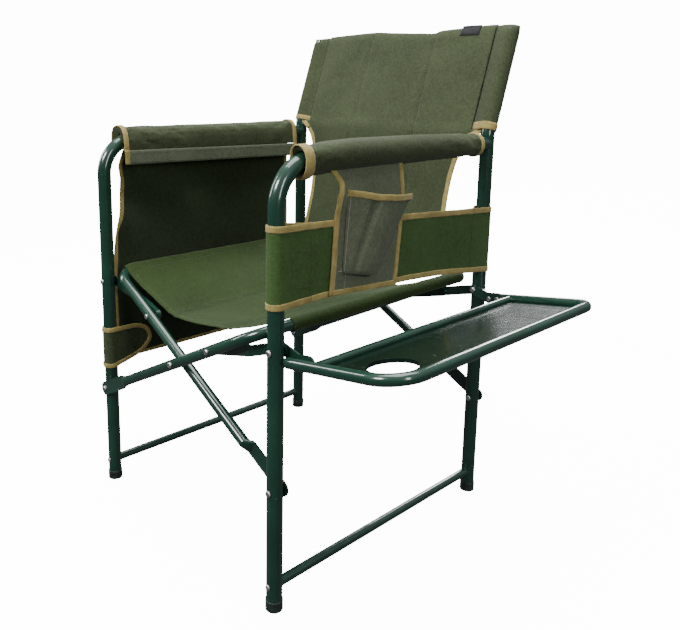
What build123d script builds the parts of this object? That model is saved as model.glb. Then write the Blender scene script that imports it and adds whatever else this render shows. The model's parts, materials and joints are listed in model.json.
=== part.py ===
from build123d import *
import math
import os

# Folding camp chair with a side tray. Millimetres.
# X runs across the seat towards the tray, the front of the chair faces -Y and +Z is up.
# The origin is on the floor, in the middle of the four legs.

# ---------------------------------------------------------------- driving dimensions
# side frames
LEG_OD = 25.0
WALL = 1.2
LEG_X = 245.0            # half the spacing of the left and right legs
LEG_Y = 252.5            # half the spacing of the front and rear legs
ARM_Z = 680.0            # centre line of the arm tube
ARM_BEND = 64.0          # bend radius between the front leg and the arm
BACK_BEND_Z = 702.0      # height where the rear leg leans back
BACK_BEND = 45.0
BACK_RAKE = 18.5         # degrees from vertical
BACK_LENGTH = 189.0      # of the leaning part, up to the end of the tube
STRETCHER_OD = 15.0
STRETCHER_Z = 40.0

# feet and end caps
CAP_WALL = 1.1
CAP_FLOOR = 3.0
CAP_HEIGHT = 17.0

# crossed seat frames: two U-shaped tubes, pinned to each other at mid width
SEAT_TUBE_OD = 18.0
LOW_PIVOT_Z = 194.0
CROSS_Z = 319.5          # height of the pivot where the two frames cross
SEAT_TUBE_LENGTH = 524.0 # low pivot to seat rail, along the tube
OUTER_BEND = 60.0        # bends into the seat rail, at the outer diagonal
INNER_BEND = 38.0        # and at the inner one
OUTER_Y = 264.5          # one diagonal of each frame runs just outside the legs' centre line
INNER_Y = 244.5          # and its other diagonal just inside
PADDLE_LENGTH = 76.0     # flattened end, from the pivot to where the tube swells again
PADDLE_WIDTH = 26.0
PADDLE_THICK = 3.0
SWELL = 15.0

# links that lock the crossed frames open
LINK_PIVOT_Z = 410.0     # on the legs
LINK_PIN_S = 118.0       # along the seat tube, from the crossing to the link's pin
LINK_WIDTH = 17.0
LINK_THICK = 2.0
LINK_FLANGE = 8.0
LINK_JOG_START = 38.0    # from the leg pivot
LINK_JOG_END = 60.0

# fasteners
BOLT_R = 3.0
BOLT_HEAD_R = 5.2
BOLT_HEAD = 2.6
NUT_R = 5.4
NUT_THICK = 4.0
RIVET_HEAD_R = 4.6
RIVET_HEAD = 2.2
TRAY_RIVET_R = 2.0

# tray
TRAY_TILT = 9.5          # degrees, rising away from the seat
TRAY_OD = 17.0
TRAY_RIM_OD = 13.0
TRAY_START_Z = 398.0     # where the side tubes' rounded ends stop against the legs
TRAY_REACH = 199.0       # along the tilt, from the start to the outer tube
TRAY_RIM_AT = 51.0
TRAY_FRONT_BEND = 50.0
TRAY_REAR_BEND = 26.0
TRAY_SHEET = 1.2
TRAY_SHEET_DROP = 2.5    # of the sheet below the tubes' centre lines
CUP_R = 36.0
CUP_AT = 134.0           # along the tilt
CUP_Y = -180.0
CUP_LIP = 6.0
BRACKET_THICK = 3.0
BRACKET_AT = 33.0        # along the tilt, of the bracket's outer end
BRACKET_HALF = 9.5
TRAY_RIVETS_AT = (14.0, 31.0)

# fabric
CLOTH = 1.5
SLEEVE_GAP = 0.3
ARM_PAD_R = 24.0

# clearances
GAP = 0.3                # between moving faces
PIN_GAP = 0.1            # round a pin
COPE_GAP = 0.1           # between a shaped tube end and the tube it meets

# ---------------------------------------------------------------- derived places
SEAT_ANGLE = math.degrees(math.atan2(CROSS_Z - LOW_PIVOT_Z, LEG_X))
COS_SEAT = math.cos(math.radians(SEAT_ANGLE))
SIN_SEAT = math.sin(math.radians(SEAT_ANGLE))
RAIL_X = SEAT_TUBE_LENGTH * COS_SEAT - LEG_X
RAIL_Z = LOW_PIVOT_Z + SEAT_TUBE_LENGTH * SIN_SEAT
LINK_PIN_X = LINK_PIN_S * COS_SEAT
LINK_PIN_Z = CROSS_Z + LINK_PIN_S * SIN_SEAT
LEG_R = LEG_OD / 2
SEAT_R = SEAT_TUBE_OD / 2
TRAY_R = TRAY_OD / 2
TRAY_NOSE_R = TRAY_R - GAP
BRACKET_Y = LEG_Y - LEG_R - LINK_THICK - 2 * GAP   # the bracket's face towards the leg
TRAY_Y = BRACKET_Y + GAP + TRAY_R
TRAY_START_X = LEG_X + math.sqrt((LEG_R + TRAY_NOSE_R + GAP) ** 2 - (LEG_Y - TRAY_Y) ** 2)
SLEEVE_IN = LEG_R + SLEEVE_GAP
SLEEVE_OUT = SLEEVE_IN + CLOTH

os.makedirs("parts", exist_ok=True)
nodes = {}


# ---------------------------------------------------------------- shared shapes
def along_tilt(distance, y, lift=0.0):
    """A point on the tray, measured along its tilt from where its side tubes start."""
    angle = math.radians(TRAY_TILT)
    x = TRAY_START_X + distance * math.cos(angle) - lift * math.sin(angle)
    z = TRAY_START_Z + distance * math.sin(angle) + lift * math.cos(angle)
    return (x, y, z)


def along_direction():
    """The tray's direction away from the seat."""
    angle = math.radians(TRAY_TILT)
    return (math.cos(angle), 0, math.sin(angle))


def seat_tube_point(distance, y):
    """A point on frame B's centre line, measured from its low pivot on the left legs."""
    return (-LEG_X + distance * COS_SEAT, y, LOW_PIVOT_Z + distance * SIN_SEAT)


def path_of(points, radii=None):
    if len(points) == 2:
        return Line(*points)
    return FilletPolyline(*points, radius=radii)


def swept(points, radii, outer, inner=0.0):
    """A round bar or tube along straight runs and tangent arcs."""
    path = path_of(points, radii)
    section = Circle(outer)
    if inner > 0:
        section = section - Circle(inner)
    start = Plane(origin=path @ 0, z_dir=path % 0)
    return sweep(start * section, path=path)


def tube(points, radii, od):
    return swept(points, radii, od / 2, od / 2 - WALL)


def rod(start, end, radius):
    """A cylinder between two points."""
    a, b = Vector(*start), Vector(*end)
    plane = Plane(origin=a, z_dir=b - a)
    return extrude(plane * Circle(radius), amount=(b - a).length)


def y_rod(x, z, y0, y1, radius):
    return rod((x, min(y0, y1), z), (x, max(y0, y1), z), radius)


def slab(x0, x1, y0, y1, z0, z1):
    return Pos((x0 + x1) / 2, (y0 + y1) / 2, (z0 + z1) / 2) * Box(x1 - x0, y1 - y0, z1 - z0)


def xz_plate(outline, y0, y1):
    """A flat plate standing in the XZ plane, between two Y values."""
    plane = Plane(origin=(0, y1, 0), x_dir=(1, 0, 0), z_dir=(0, -1, 0))
    return extrude(plane * outline, amount=y1 - y0)


def domed_head(x, z, y, facing, radius, height):
    """A low round head on a face at y, standing out along facing (-1 or +1)."""
    head = y_rod(x, z, y, y + facing * height, radius)
    return fillet(head.edges().filter_by(GeomType.CIRCLE).sort_by(Axis.Y)[-1 if facing > 0 else 0],
                  height * 0.7)


def bolt(x, z, head_y, nut_y):
    """A bolt along Y: domed head against head_y, nut against nut_y, round shank between."""
    out = 1 if head_y > nut_y else -1
    shank = y_rod(x, z, head_y, nut_y - out * NUT_THICK, BOLT_R)
    nut_plane = Plane(origin=(x, nut_y, z), x_dir=(1, 0, 0), z_dir=(0, -out, 0))
    nut = extrude(nut_plane * RegularPolygon(NUT_R, 6), amount=NUT_THICK)
    return shank + nut + domed_head(x, z, head_y, out, BOLT_HEAD_R, BOLT_HEAD)


def half_turn(shape):
    """The chair's crossed frames look the same after half a turn about Z."""
    return Rot(0, 0, 180) * shape


def group(shapes):
    return Compound(children=list(shapes))


# ---------------------------------------------------------------- side frames
def back_axis(side, along):
    """A point on the leaning part of a rear leg, measured from its bend."""
    angle = math.radians(BACK_RAKE)
    y = LEG_Y + along * math.sin(angle)
    return (side * LEG_X, y, BACK_BEND_Z + along * math.cos(angle))


def leg_holes(side, y):
    """Holes for the low pivot and link bolts in one leg, and for the stretcher's rivet."""
    x = side * LEG_X
    reach = LEG_R + 2
    holes = [y_rod(x, z, y - reach, y + reach, BOLT_R + PIN_GAP) for z in (LOW_PIVOT_Z, LINK_PIVOT_Z)]
    return holes + [y_rod(x, STRETCHER_Z, y - reach, y + reach, BOLT_R + PIN_GAP)]


def side_tube(side):
    """Front leg and arm in one bent tube, shaped to the rear leg at its end."""
    x = side * LEG_X
    points = [(x, -LEG_Y, CAP_FLOOR), (x, -LEG_Y, ARM_Z), (x, LEG_Y, ARM_Z)]
    shape = tube(points, ARM_BEND, LEG_OD)
    shape -= rod((x, LEG_Y, ARM_Z - 40), (x, LEG_Y, ARM_Z + 40), LEG_R + COPE_GAP)
    for hole in leg_holes(side, -LEG_Y):
        shape -= hole
    return shape


def back_post(side):
    """Rear leg that leans back above the arm."""
    x = side * LEG_X
    points = [(x, LEG_Y, CAP_FLOOR), (x, LEG_Y, BACK_BEND_Z), back_axis(side, BACK_LENGTH)]
    shape = tube(points, BACK_BEND, LEG_OD)
    for hole in leg_holes(side, LEG_Y):
        shape -= hole
    return shape - y_rod(x, ARM_Z, LEG_Y - 20, LEG_Y + 20, BOLT_R + PIN_GAP)


def stretcher(side):
    x = side * LEG_X
    shape = tube([(x, -LEG_Y, STRETCHER_Z), (x, LEG_Y, STRETCHER_Z)], None, STRETCHER_OD)
    for y in (-LEG_Y, LEG_Y):
        shape -= rod((x, y, 0), (x, y, 2 * STRETCHER_Z), LEG_R + COPE_GAP)
    return shape


def stretcher_plugs(side):
    """Inserts in the stretcher's two ends, which its rivets grip."""
    x = side * LEG_X
    radius = STRETCHER_OD / 2 - WALL - PIN_GAP
    plugs = []
    for end in (-1, 1):
        y0 = end * (LEG_Y - LEG_R - 2.5)
        plug = y_rod(x, STRETCHER_Z, y0, y0 - end * 20, radius)
        plugs.append(plug - y_rod(x, STRETCHER_Z, y0, y0 - end * 14, BOLT_R + PIN_GAP))
    return group(plugs)


def stretcher_rivets(side):
    """Rivets through the feet of the legs into the stretcher's inserts."""
    x = side * LEG_X
    rivets = []
    for end in (-1, 1):
        face = end * (LEG_Y + LEG_R)
        head = domed_head(x, STRETCHER_Z, face, end, RIVET_HEAD_R, RIVET_HEAD)
        rivets.append(head + y_rod(x, STRETCHER_Z, face, face - end * 40, BOLT_R))
    return group(rivets)


def foot_caps(side):
    """Cups pushed over the two legs' lower ends; the chair stands on them."""
    caps = []
    for y in (-LEG_Y, LEG_Y):
        x = side * LEG_X
        outer = LEG_R + PIN_GAP + CAP_WALL
        cap = rod((x, y, 0), (x, y, CAP_HEIGHT), outer)
        cap = fillet(cap.edges().filter_by(GeomType.CIRCLE), 1.0)
        caps.append(cap - rod((x, y, CAP_FLOOR), (x, y, CAP_HEIGHT), LEG_R + PIN_GAP))
    return group(caps)


def post_cap(side):
    """Plug in the top of the rear leg, inside the back's sleeve."""
    bore = LEG_R - WALL - PIN_GAP
    plug = rod(back_axis(side, BACK_LENGTH - 16), back_axis(side, BACK_LENGTH), bore)
    return plug + rod(back_axis(side, BACK_LENGTH), back_axis(side, BACK_LENGTH + 2), LEG_R)


def arm_insert(side):
    """Threaded insert in the arm's rear end."""
    x = side * LEG_X
    face = LEG_Y - LEG_R - 3
    insert = y_rod(x, ARM_Z, face, face - 26, LEG_R - WALL - PIN_GAP)
    return insert - y_rod(x, ARM_Z, face, face - 18, BOLT_R + PIN_GAP)


def arm_screw(side):
    """Screw through the rear leg into the arm's insert."""
    x = side * LEG_X
    face = LEG_Y + LEG_R
    shank = y_rod(x, ARM_Z, face, face - 42, BOLT_R)
    return shank + domed_head(x, ARM_Z, face, 1, BOLT_HEAD_R, BOLT_HEAD)


def low_bolts(side):
    """Pivot bolts of a seat frame: its ends lie in front of the left legs or behind the right ones."""
    stack = PADDLE_THICK + 2 * GAP
    in_front = stack if side < 0 else 0
    behind = 0 if side < 0 else stack
    bolts = []
    for y in (-LEG_Y, LEG_Y):
        bolts.append(bolt(side * LEG_X, LOW_PIVOT_Z, y - LEG_R - in_front, y + LEG_R + behind))
    return group(bolts)


def link_bolts(side):
    """Pivot bolts of the links, on the legs' faces towards the seat.

    The right ones carry the tray too.
    """
    stack = LINK_THICK + 2 * GAP
    if side > 0:
        stack += BRACKET_THICK + GAP
    front_leg = bolt(side * LEG_X, LINK_PIVOT_Z, -LEG_Y - LEG_R, -LEG_Y + LEG_R + stack)
    rear_leg = bolt(side * LEG_X, LINK_PIVOT_Z, LEG_Y - LEG_R - stack, LEG_Y + LEG_R)
    return group([front_leg, rear_leg])


# ---------------------------------------------------------------- crossed seat frames
def paddle(y_tube, y_face, outward):
    """Flattened tube end: a plate on the leg's face, swelling back to the round tube."""
    y0, y1 = sorted((y_face, y_face + outward * PADDLE_THICK))
    outline = SlotCenterToCenter(PADDLE_LENGTH, PADDLE_WIDTH)
    outline = Pos(PADDLE_LENGTH / 2, 0) * outline
    plane = Plane(origin=(-LEG_X, y1, LOW_PIVOT_Z), x_dir=(COS_SEAT, 0, SIN_SEAT), z_dir=(0, -1, 0))
    plate = extrude(plane * outline, amount=PADDLE_THICK)
    flat_at = Plane(origin=seat_tube_point(PADDLE_LENGTH, (y0 + y1) / 2),
                    x_dir=(0, 1, 0), z_dir=(COS_SEAT, 0, SIN_SEAT))
    round_at = Plane(origin=seat_tube_point(PADDLE_LENGTH + SWELL, y_tube),
                     x_dir=(0, 1, 0), z_dir=(COS_SEAT, 0, SIN_SEAT))
    swell = loft([flat_at * Ellipse(PADDLE_THICK / 2, PADDLE_WIDTH / 2), round_at * Circle(SEAT_R)])
    hole_y = (y0 - 1, y1 + 1)
    return plate + swell - y_rod(-LEG_X, LOW_PIVOT_Z, *hole_y, BOLT_R + PIN_GAP)


def seat_frame_b():
    """U-shaped tube from the left legs' low pivots up to the right-hand seat rail."""
    start = PADDLE_LENGTH + SWELL
    points = [seat_tube_point(start, -OUTER_Y), (RAIL_X, -OUTER_Y, RAIL_Z),
              (RAIL_X, INNER_Y, RAIL_Z), seat_tube_point(start, INNER_Y)]
    shape = tube(points, (OUTER_BEND, INNER_BEND), SEAT_TUBE_OD)
    shape += paddle(-OUTER_Y, -LEG_Y - LEG_R - GAP, -1)
    shape += paddle(INNER_Y, LEG_Y - LEG_R - GAP, -1)
    for y in (-OUTER_Y, INNER_Y):
        for x, z in ((0, CROSS_Z), (LINK_PIN_X, LINK_PIN_Z)):
            shape -= y_rod(x, z, y - SEAT_R - 1, y + SEAT_R + 1, BOLT_R + PIN_GAP)
    return shape


def centre_bolts():
    """Bolts at the crossing; they turn with frame B."""
    outer, inner = OUTER_Y + SEAT_R, INNER_Y - SEAT_R
    return group([bolt(0, CROSS_Z, -outer, -inner + GAP), bolt(0, CROSS_Z, inner, outer + GAP)])


def centre_washers():
    """Washers that keep the two frames apart where they cross."""
    y0 = -OUTER_Y + SEAT_R
    y1 = -INNER_Y - SEAT_R - GAP
    ring = y_rod(0, CROSS_Z, y0, y1, 8.0) - y_rod(0, CROSS_Z, y0, y1, BOLT_R + PIN_GAP)
    return group([ring, half_turn(ring)])


def frame_b_rivets():
    """Frame B's halves of the link pivots: flush at the link's side."""
    rivets = []
    for y_head, y_end in ((-OUTER_Y - SEAT_R, -OUTER_Y + SEAT_R), (INNER_Y + SEAT_R, INNER_Y - SEAT_R)):
        out = 1 if y_head > y_end else -1
        head = domed_head(LINK_PIN_X, LINK_PIN_Z, y_head, out, RIVET_HEAD_R, RIVET_HEAD)
        rivets.append(head + y_rod(LINK_PIN_X, LINK_PIN_Z, y_head, y_end, BOLT_R))
    return group(rivets)


# ---------------------------------------------------------------- links
def link(side, frame_y):
    """Pressed channel from a front leg to the seat tube in front of it, cranked towards that tube.

    frame_y is the seat tube's face that the link lies against.
    """
    pivot = Vector(side * LEG_X, 0, LINK_PIVOT_Z)
    pin = Vector(side * LINK_PIN_X, 0, LINK_PIN_Z)
    run = pin - pivot
    length = run.length
    run = run.normalized()
    half = LINK_WIDTH / 2
    leg_y = -LEG_Y + LEG_R + GAP
    pin_y = frame_y + GAP

    def strip(first, last, y_first, y_last):
        """A flat stretch of the strap between two distances from the leg pivot."""
        corners = [(first, y_first), (last, y_last), (last, y_last + LINK_THICK),
                   (first, y_first + LINK_THICK)]
        face = make_face(Polyline(*corners, close=True))
        across = run.cross(Vector(0, 1, 0))
        plane = Plane(origin=pivot - across * half, x_dir=run, z_dir=across)
        return extrude(plane * face, amount=LINK_WIDTH)

    def end_disc(centre, y):
        return y_rod(centre.X, centre.Z, y, y + LINK_THICK, half)

    strap = strip(0, LINK_JOG_START, leg_y, leg_y) + strip(LINK_JOG_START, LINK_JOG_END, leg_y, pin_y)
    strap += strip(LINK_JOG_END, length, pin_y, pin_y) + end_disc(pivot, leg_y) + end_disc(pin, pin_y)
    flange_plane = Plane(origin=(pivot.X, pin_y + LINK_FLANGE, pivot.Z), x_dir=run, z_dir=(0, -1, 0))
    channel_at = LINK_JOG_END + 6
    channel = SlotCenterToCenter(length - channel_at, LINK_WIDTH)
    hollow = SlotCenterToCenter(length - channel_at, LINK_WIDTH - 2 * LINK_THICK)
    place = Pos((length + channel_at) / 2, 0)
    walls = extrude(flange_plane * (place * (channel - hollow)), amount=LINK_FLANGE)
    clear_of_jog = strip(0, LINK_JOG_END, pin_y - 30, pin_y - 30)
    strap += walls - clear_of_jog
    strap -= y_rod(pivot.X, pivot.Z, leg_y - 1, leg_y + LINK_THICK + 1, BOLT_R + PIN_GAP)
    return strap - y_rod(pin.X, pin.Z, pin_y - 1, pin_y + LINK_THICK + 1, BOLT_R + PIN_GAP)


def link_rivet(side, frame_y):
    """The link's half of its pivot with the seat tube."""
    y0 = frame_y + GAP
    x = side * LINK_PIN_X
    shank = y_rod(x, LINK_PIN_Z, y0, y0 + LINK_THICK, BOLT_R)
    return shank + domed_head(x, LINK_PIN_Z, y0 + LINK_THICK, 1, RIVET_HEAD_R, RIVET_HEAD)


# ---------------------------------------------------------------- tray
def tray_outline(outer, inner=0.0):
    """The tray's U-shaped tube, from one leg round to the other."""
    points = [along_tilt(0, -TRAY_Y), along_tilt(TRAY_REACH, -TRAY_Y),
              along_tilt(TRAY_REACH, TRAY_Y), along_tilt(0, TRAY_Y)]
    return swept(points, [TRAY_FRONT_BEND, TRAY_REAR_BEND], outer, inner)


def tray_tube():
    shape = tray_outline(TRAY_R, TRAY_R - WALL)
    for end in (-1, 1):
        for at in TRAY_RIVETS_AT:
            x, _, z = along_tilt(at, 0)
            shape -= y_rod(x, z, end * (TRAY_Y - TRAY_R - 1), end * TRAY_Y, TRAY_RIVET_R + PIN_GAP)
    return shape


def tray_end_plugs():
    """Rounded plugs in the tray tube's ends; they rest against the legs."""
    plugs = []
    for y in (-TRAY_Y, TRAY_Y):
        stem = rod(along_tilt(0, y), along_tilt(8, y), TRAY_R - WALL - PIN_GAP)
        ball = Pos(*along_tilt(0, y)) * Sphere(TRAY_NOSE_R)
        ball -= Plane(origin=along_tilt(0, y), x_dir=(0, 1, 0), z_dir=along_direction()) * (
            Pos(0, 0, TRAY_R) * Box(40, 40, 2 * TRAY_R))
        plugs.append(stem + ball)
    return group(plugs)


def tray_rim():
    """Inner rim tube between the two side tubes."""
    shape = tube([along_tilt(TRAY_RIM_AT, -TRAY_Y), along_tilt(TRAY_RIM_AT, TRAY_Y)], None, TRAY_RIM_OD)
    for y in (-TRAY_Y, TRAY_Y):
        shape -= rod(along_tilt(TRAY_RIM_AT - 30, y), along_tilt(TRAY_RIM_AT + 30, y), TRAY_R + COPE_GAP)
    return shape


def tray_plane(lift=0.0):
    return Plane(origin=along_tilt(0, 0, lift), x_dir=along_direction(),
                 z_dir=Vector(*along_direction()).cross(Vector(0, 1, 0)))


def tray_sheet():
    """Sheet metal top with a lipped cup hole, held in the tubes."""
    plane = tray_plane(-TRAY_SHEET_DROP - TRAY_SHEET)
    width = TRAY_REACH - TRAY_RIM_AT
    blank = Pos(TRAY_RIM_AT + width / 2, 0) * Rectangle(width, 2 * TRAY_Y)
    hole_at = Pos(CUP_AT, CUP_Y)
    sheet = extrude(plane * (blank - hole_at * Circle(CUP_R)), amount=TRAY_SHEET)
    lip = hole_at * (Circle(CUP_R + TRAY_SHEET) - Circle(CUP_R))
    sheet += extrude(plane * lip, amount=-(CUP_LIP - TRAY_SHEET))
    sheet -= tray_outline(TRAY_R + COPE_GAP)
    sheet -= rod(along_tilt(TRAY_RIM_AT, -TRAY_Y), along_tilt(TRAY_RIM_AT, TRAY_Y),
                 TRAY_RIM_OD / 2 + COPE_GAP)
    return max(sheet.solids(), key=lambda solid: solid.volume)


def strip_between(first, last, radius):
    """A round-ended strip between two points, in a plate's own plane."""
    a, b = Vector(first[0], first[1]), Vector(last[0], last[1])
    angle = math.degrees(math.atan2(b.Y - a.Y, b.X - a.X))
    middle = (a + b) * 0.5
    return Pos(middle.X, middle.Y) * Rot(0, 0, angle) * SlotCenterToCenter((b - a).length, 2 * radius)


def bracket_y(end):
    """The bracket's two faces: it lies past the link, on the leg's side towards the seat."""
    return sorted((end * BRACKET_Y, end * (BRACKET_Y - BRACKET_THICK)))


def tray_bracket(end):
    """Plate from a right leg's link bolt to the tray's side tube."""
    y0, y1 = bracket_y(end)
    inner = along_tilt(12, 0)
    outer = along_tilt(BRACKET_AT, 0)
    hinge = Vector(LEG_X, 0, LINK_PIVOT_Z)
    corners = [(hinge.X, hinge.Z), (inner[0], inner[2] + 2), (outer[0], outer[2] + 2)]
    outline = strip_between(corners[0], corners[1], BRACKET_HALF)
    outline += strip_between(corners[1], corners[2], BRACKET_HALF)
    plate = xz_plate(outline, y0, y1)
    plate -= y_rod(hinge.X, hinge.Z, y0 - 1, y1 + 1, BOLT_R + PIN_GAP)
    for at in TRAY_RIVETS_AT:
        x, _, z = along_tilt(at, 0)
        plate -= y_rod(x, z, y0 - 1, y1 + 1, TRAY_RIVET_R + PIN_GAP)
    return plate


def tray_rivets():
    """Two rivets at each side tube, through the bracket."""
    rivets = []
    for end in (-1, 1):
        y0, y1 = bracket_y(end)
        face = y1 if end < 0 else y0
        for at in TRAY_RIVETS_AT:
            x, _, z = along_tilt(at, 0)
            head = domed_head(x, z, face, -end, RIVET_HEAD_R, RIVET_HEAD)
            rivets.append(head + y_rod(x, z, face, end * (TRAY_Y - TRAY_R + WALL + 1), TRAY_RIVET_R))
    return group(rivets)


# ---------------------------------------------------------------- fabric, as plain closed solids
SEAT_SAG_Z = 386.0
SEAT_CLOTH = 3.0
SEAT_FRONT_Y = -210.0
SEAT_REAR_Y = 210.0
RAIL_SLEEVE_Y = 202.0


def seat():
    """Seat cloth: sleeves round both rails and a sagging sheet between them."""
    top = RAIL_Z + SEAT_R + SLEEVE_GAP + CLOTH
    edge = RAIL_X + 4
    upper = ThreePointArc((-edge, top), (0, SEAT_SAG_Z), (edge, top))
    under = top - SEAT_CLOTH
    lower = ThreePointArc((edge, under), (0, SEAT_SAG_Z - SEAT_CLOTH), (-edge, under))
    ends = [Line((edge, top), (edge, under)), Line((-edge, under), (-edge, top))]
    outline = make_face([upper, lower] + ends)
    shape = xz_plate(outline, SEAT_FRONT_Y, SEAT_REAR_Y)
    for side in (-1, 1):
        shape += y_rod(side * RAIL_X, RAIL_Z, -RAIL_SLEEVE_Y, RAIL_SLEEVE_Y, SEAT_R + SLEEVE_GAP + CLOTH)
    for bar in (seat_bar(), half_turn(seat_bar())):
        shape -= bar
    return max(shape.solids(), key=lambda solid: solid.volume)


def seat_bar():
    """The space of frame B's rail and its two bends."""
    points = [seat_tube_point(SEAT_TUBE_LENGTH - 120, -OUTER_Y), (RAIL_X, -OUTER_Y, RAIL_Z),
              (RAIL_X, INNER_Y, RAIL_Z), seat_tube_point(SEAT_TUBE_LENGTH - 120, INNER_Y)]
    return swept(points, (OUTER_BEND, INNER_BEND), SEAT_R + SLEEVE_GAP)


COVER_START = 8.0
COVER_WEB = 4.0


def back_cover():
    """Flat bag over both rear legs' leaning parts, closed at the top."""
    angle = math.radians(BACK_RAKE)
    rise = (0, math.sin(angle), math.cos(angle))
    plane = Plane(origin=(0,) + back_axis(0, COVER_START)[1:], x_dir=(1, 0, 0), z_dir=rise)
    height = BACK_LENGTH + 2 + SLEEVE_GAP + CLOTH - COVER_START
    section = Rectangle(2 * LEG_X, COVER_WEB)
    for side in (-1, 1):
        section += Pos(side * LEG_X, 0) * Circle(SLEEVE_OUT)
    shape = extrude(plane * section, amount=height)
    for side in (-1, 1):
        top = back_axis(side, BACK_LENGTH + 2 + SLEEVE_GAP)
        shape -= rod(back_axis(side, COVER_START - 2), top, SLEEVE_IN)
    return shape


BACK_PANEL_TOP = (253.0, 706.0)      # y and z of the panel's top edge
BACK_PANEL_FOOT = (212.0, 452.0)
BACK_PANEL_WIDE = 228.0              # half widths, from the top down
BACK_PANEL_WAIST = 205.0
BACK_PANEL_NARROW = 192.0
BACK_PANEL_CLOTH = 3.0


def back_panel():
    """Lower back: a leaning sheet with hollow-cut sides, from the cover down to the seat."""
    top, foot = Vector(0, *BACK_PANEL_TOP), Vector(0, *BACK_PANEL_FOOT)
    up = (top - foot).normalized()
    height = (top - foot).length
    plane = Plane(origin=foot, x_dir=(1, 0, 0), z_dir=Vector(1, 0, 0).cross(up))
    wide, waist, narrow = BACK_PANEL_WIDE, BACK_PANEL_WAIST, BACK_PANEL_NARROW
    hollow = (narrow + waist) / 2 - 2
    sides = []
    for side in (1, -1):
        sides.append(Spline((side * narrow, 0), (side * hollow, height * 0.45),
                            (side * waist, height * 0.82), (side * wide, height)))
    ends = [Line((-narrow, 0), (narrow, 0)), Line((-wide, height), (wide, height))]
    outline = make_face(sides + ends)
    return extrude(plane * outline, amount=BACK_PANEL_CLOTH)


def label_tag():
    """Plain sewn tag at the top of the back."""
    x_dir = (1, 0, 0)
    angle = math.radians(BACK_RAKE)
    forward = (0, -math.cos(angle), math.sin(angle))
    middle = Vector(*back_axis(0, BACK_LENGTH - 4)) + Vector(*forward) * (COVER_WEB / 2)
    plane = Plane(origin=(170.0, middle.Y, middle.Z), x_dir=x_dir, z_dir=forward)
    return extrude(plane * RectangleRounded(42, 12, 1.5), amount=1.2)


ARM_PAD_FRONT = -212.0
ARM_PAD_REAR = 214.0


def arm_space(side, grow):
    """The space of a side tube's arm and of its bend into the front leg."""
    x = side * LEG_X
    points = [(x, -LEG_Y, ARM_Z - 2 * ARM_BEND), (x, -LEG_Y, ARM_Z), (x, LEG_Y, ARM_Z)]
    return swept(points, ARM_BEND, LEG_R + grow)


def right_arm_pad():
    """Padded roll round the right arm."""
    pad = y_rod(LEG_X, ARM_Z + 1, ARM_PAD_FRONT, ARM_PAD_REAR, ARM_PAD_R)
    return pad - arm_space(1, CLOTH)


LEFT_COVER_FRONT = -220.0
LEFT_COVER_REAR = 213.0
LEFT_FLAP_FOOT = 630.0
LEFT_PAD_R = 27.0


def left_arm_cover():
    """Padded cover over the left arm, hanging down as a flap on the seat's side."""
    pad = y_rod(-LEG_X, ARM_Z + 1, LEFT_COVER_FRONT, LEFT_COVER_REAR, LEFT_PAD_R)
    inner = -LEG_X + LEFT_PAD_R
    pad += slab(inner - CLOTH, inner, LEFT_COVER_FRONT, LEFT_COVER_REAR, LEFT_FLAP_FOOT, ARM_Z)
    return pad - arm_space(-1, 2 * CLOTH)


LEFT_PANEL_FRONT = -216.0
LEFT_PANEL_REAR = 206.0
LEFT_PANEL_FOOT = 247.0


def left_side_panel():
    """Side cloth that hangs from the left arm to below the seat."""
    top = ARM_Z - LEFT_PAD_R
    x = -LEG_X
    return slab(x - CLOTH, x + CLOTH, LEFT_PANEL_FRONT, LEFT_PANEL_REAR, LEFT_PANEL_FOOT, top)


TAB_FOOT = 238.0
TAB_TOP = 318.0
TAB_REAR = -174.0


def left_leg_tab():
    """Strap of the side panel, wrapped round the front leg and closed on the seat's side."""
    x = -LEG_X
    ring = rod((x, -LEG_Y, TAB_FOOT), (x, -LEG_Y, TAB_TOP), SLEEVE_OUT)
    flap = slab(x + SLEEVE_IN, x + SLEEVE_OUT, -LEG_Y, TAB_REAR, TAB_FOOT + 4, TAB_TOP)
    corners = flap.edges().filter_by(Axis.X).sort_by(Axis.Y)[-2:]
    flap = fillet(corners, 36.0)
    return ring + flap - rod((x, -LEG_Y, TAB_FOOT), (x, -LEG_Y, TAB_TOP), SLEEVE_IN)


BAND_FRONT = (474.0, 589.0)          # foot and top of the band at the front leg
BAND_REAR = (447.0, 564.0)


def right_side_band():
    """Band of cloth along the right side, sleeved over both legs."""
    x = LEG_X + SLEEVE_OUT
    corners = [(-LEG_Y, BAND_FRONT[0]), (LEG_Y, BAND_REAR[0]), (LEG_Y, BAND_REAR[1]),
               (-LEG_Y, BAND_FRONT[1])]
    plane = Plane(origin=(x - CLOTH, 0, 0), x_dir=(0, 1, 0), z_dir=(1, 0, 0))
    shape = extrude(plane * make_face(Polyline(*corners, close=True)), amount=CLOTH)
    for y, (foot, top) in ((-LEG_Y, BAND_FRONT), (LEG_Y, BAND_REAR)):
        shape += rod((LEG_X, y, foot), (LEG_X, y, top), SLEEVE_OUT)
    for y, (foot, top) in ((-LEG_Y, BAND_FRONT), (LEG_Y, BAND_REAR)):
        shape -= rod((LEG_X, y, foot - 10), (LEG_X, y, top + 10), SLEEVE_IN)
    return shape


HANGER_FRONT = -151.0
HANGER_REAR = 12.0
HANGER_FOOT = 468.0


def right_side_panel():
    """Cloth that hangs from the right arm's pad to the foot of the band."""
    outer = LEG_X + SLEEVE_IN - 0.3
    reach = outer - CLOTH - LEG_X
    top = ARM_Z + 1 - math.sqrt(ARM_PAD_R ** 2 - reach ** 2) - 0.5
    return slab(outer - CLOTH, outer, HANGER_FRONT, HANGER_REAR, HANGER_FOOT, top)


POCKET_FOOT = 497.0
POCKET_TOP = 627.0
POCKET_WALL = 2.0


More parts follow.
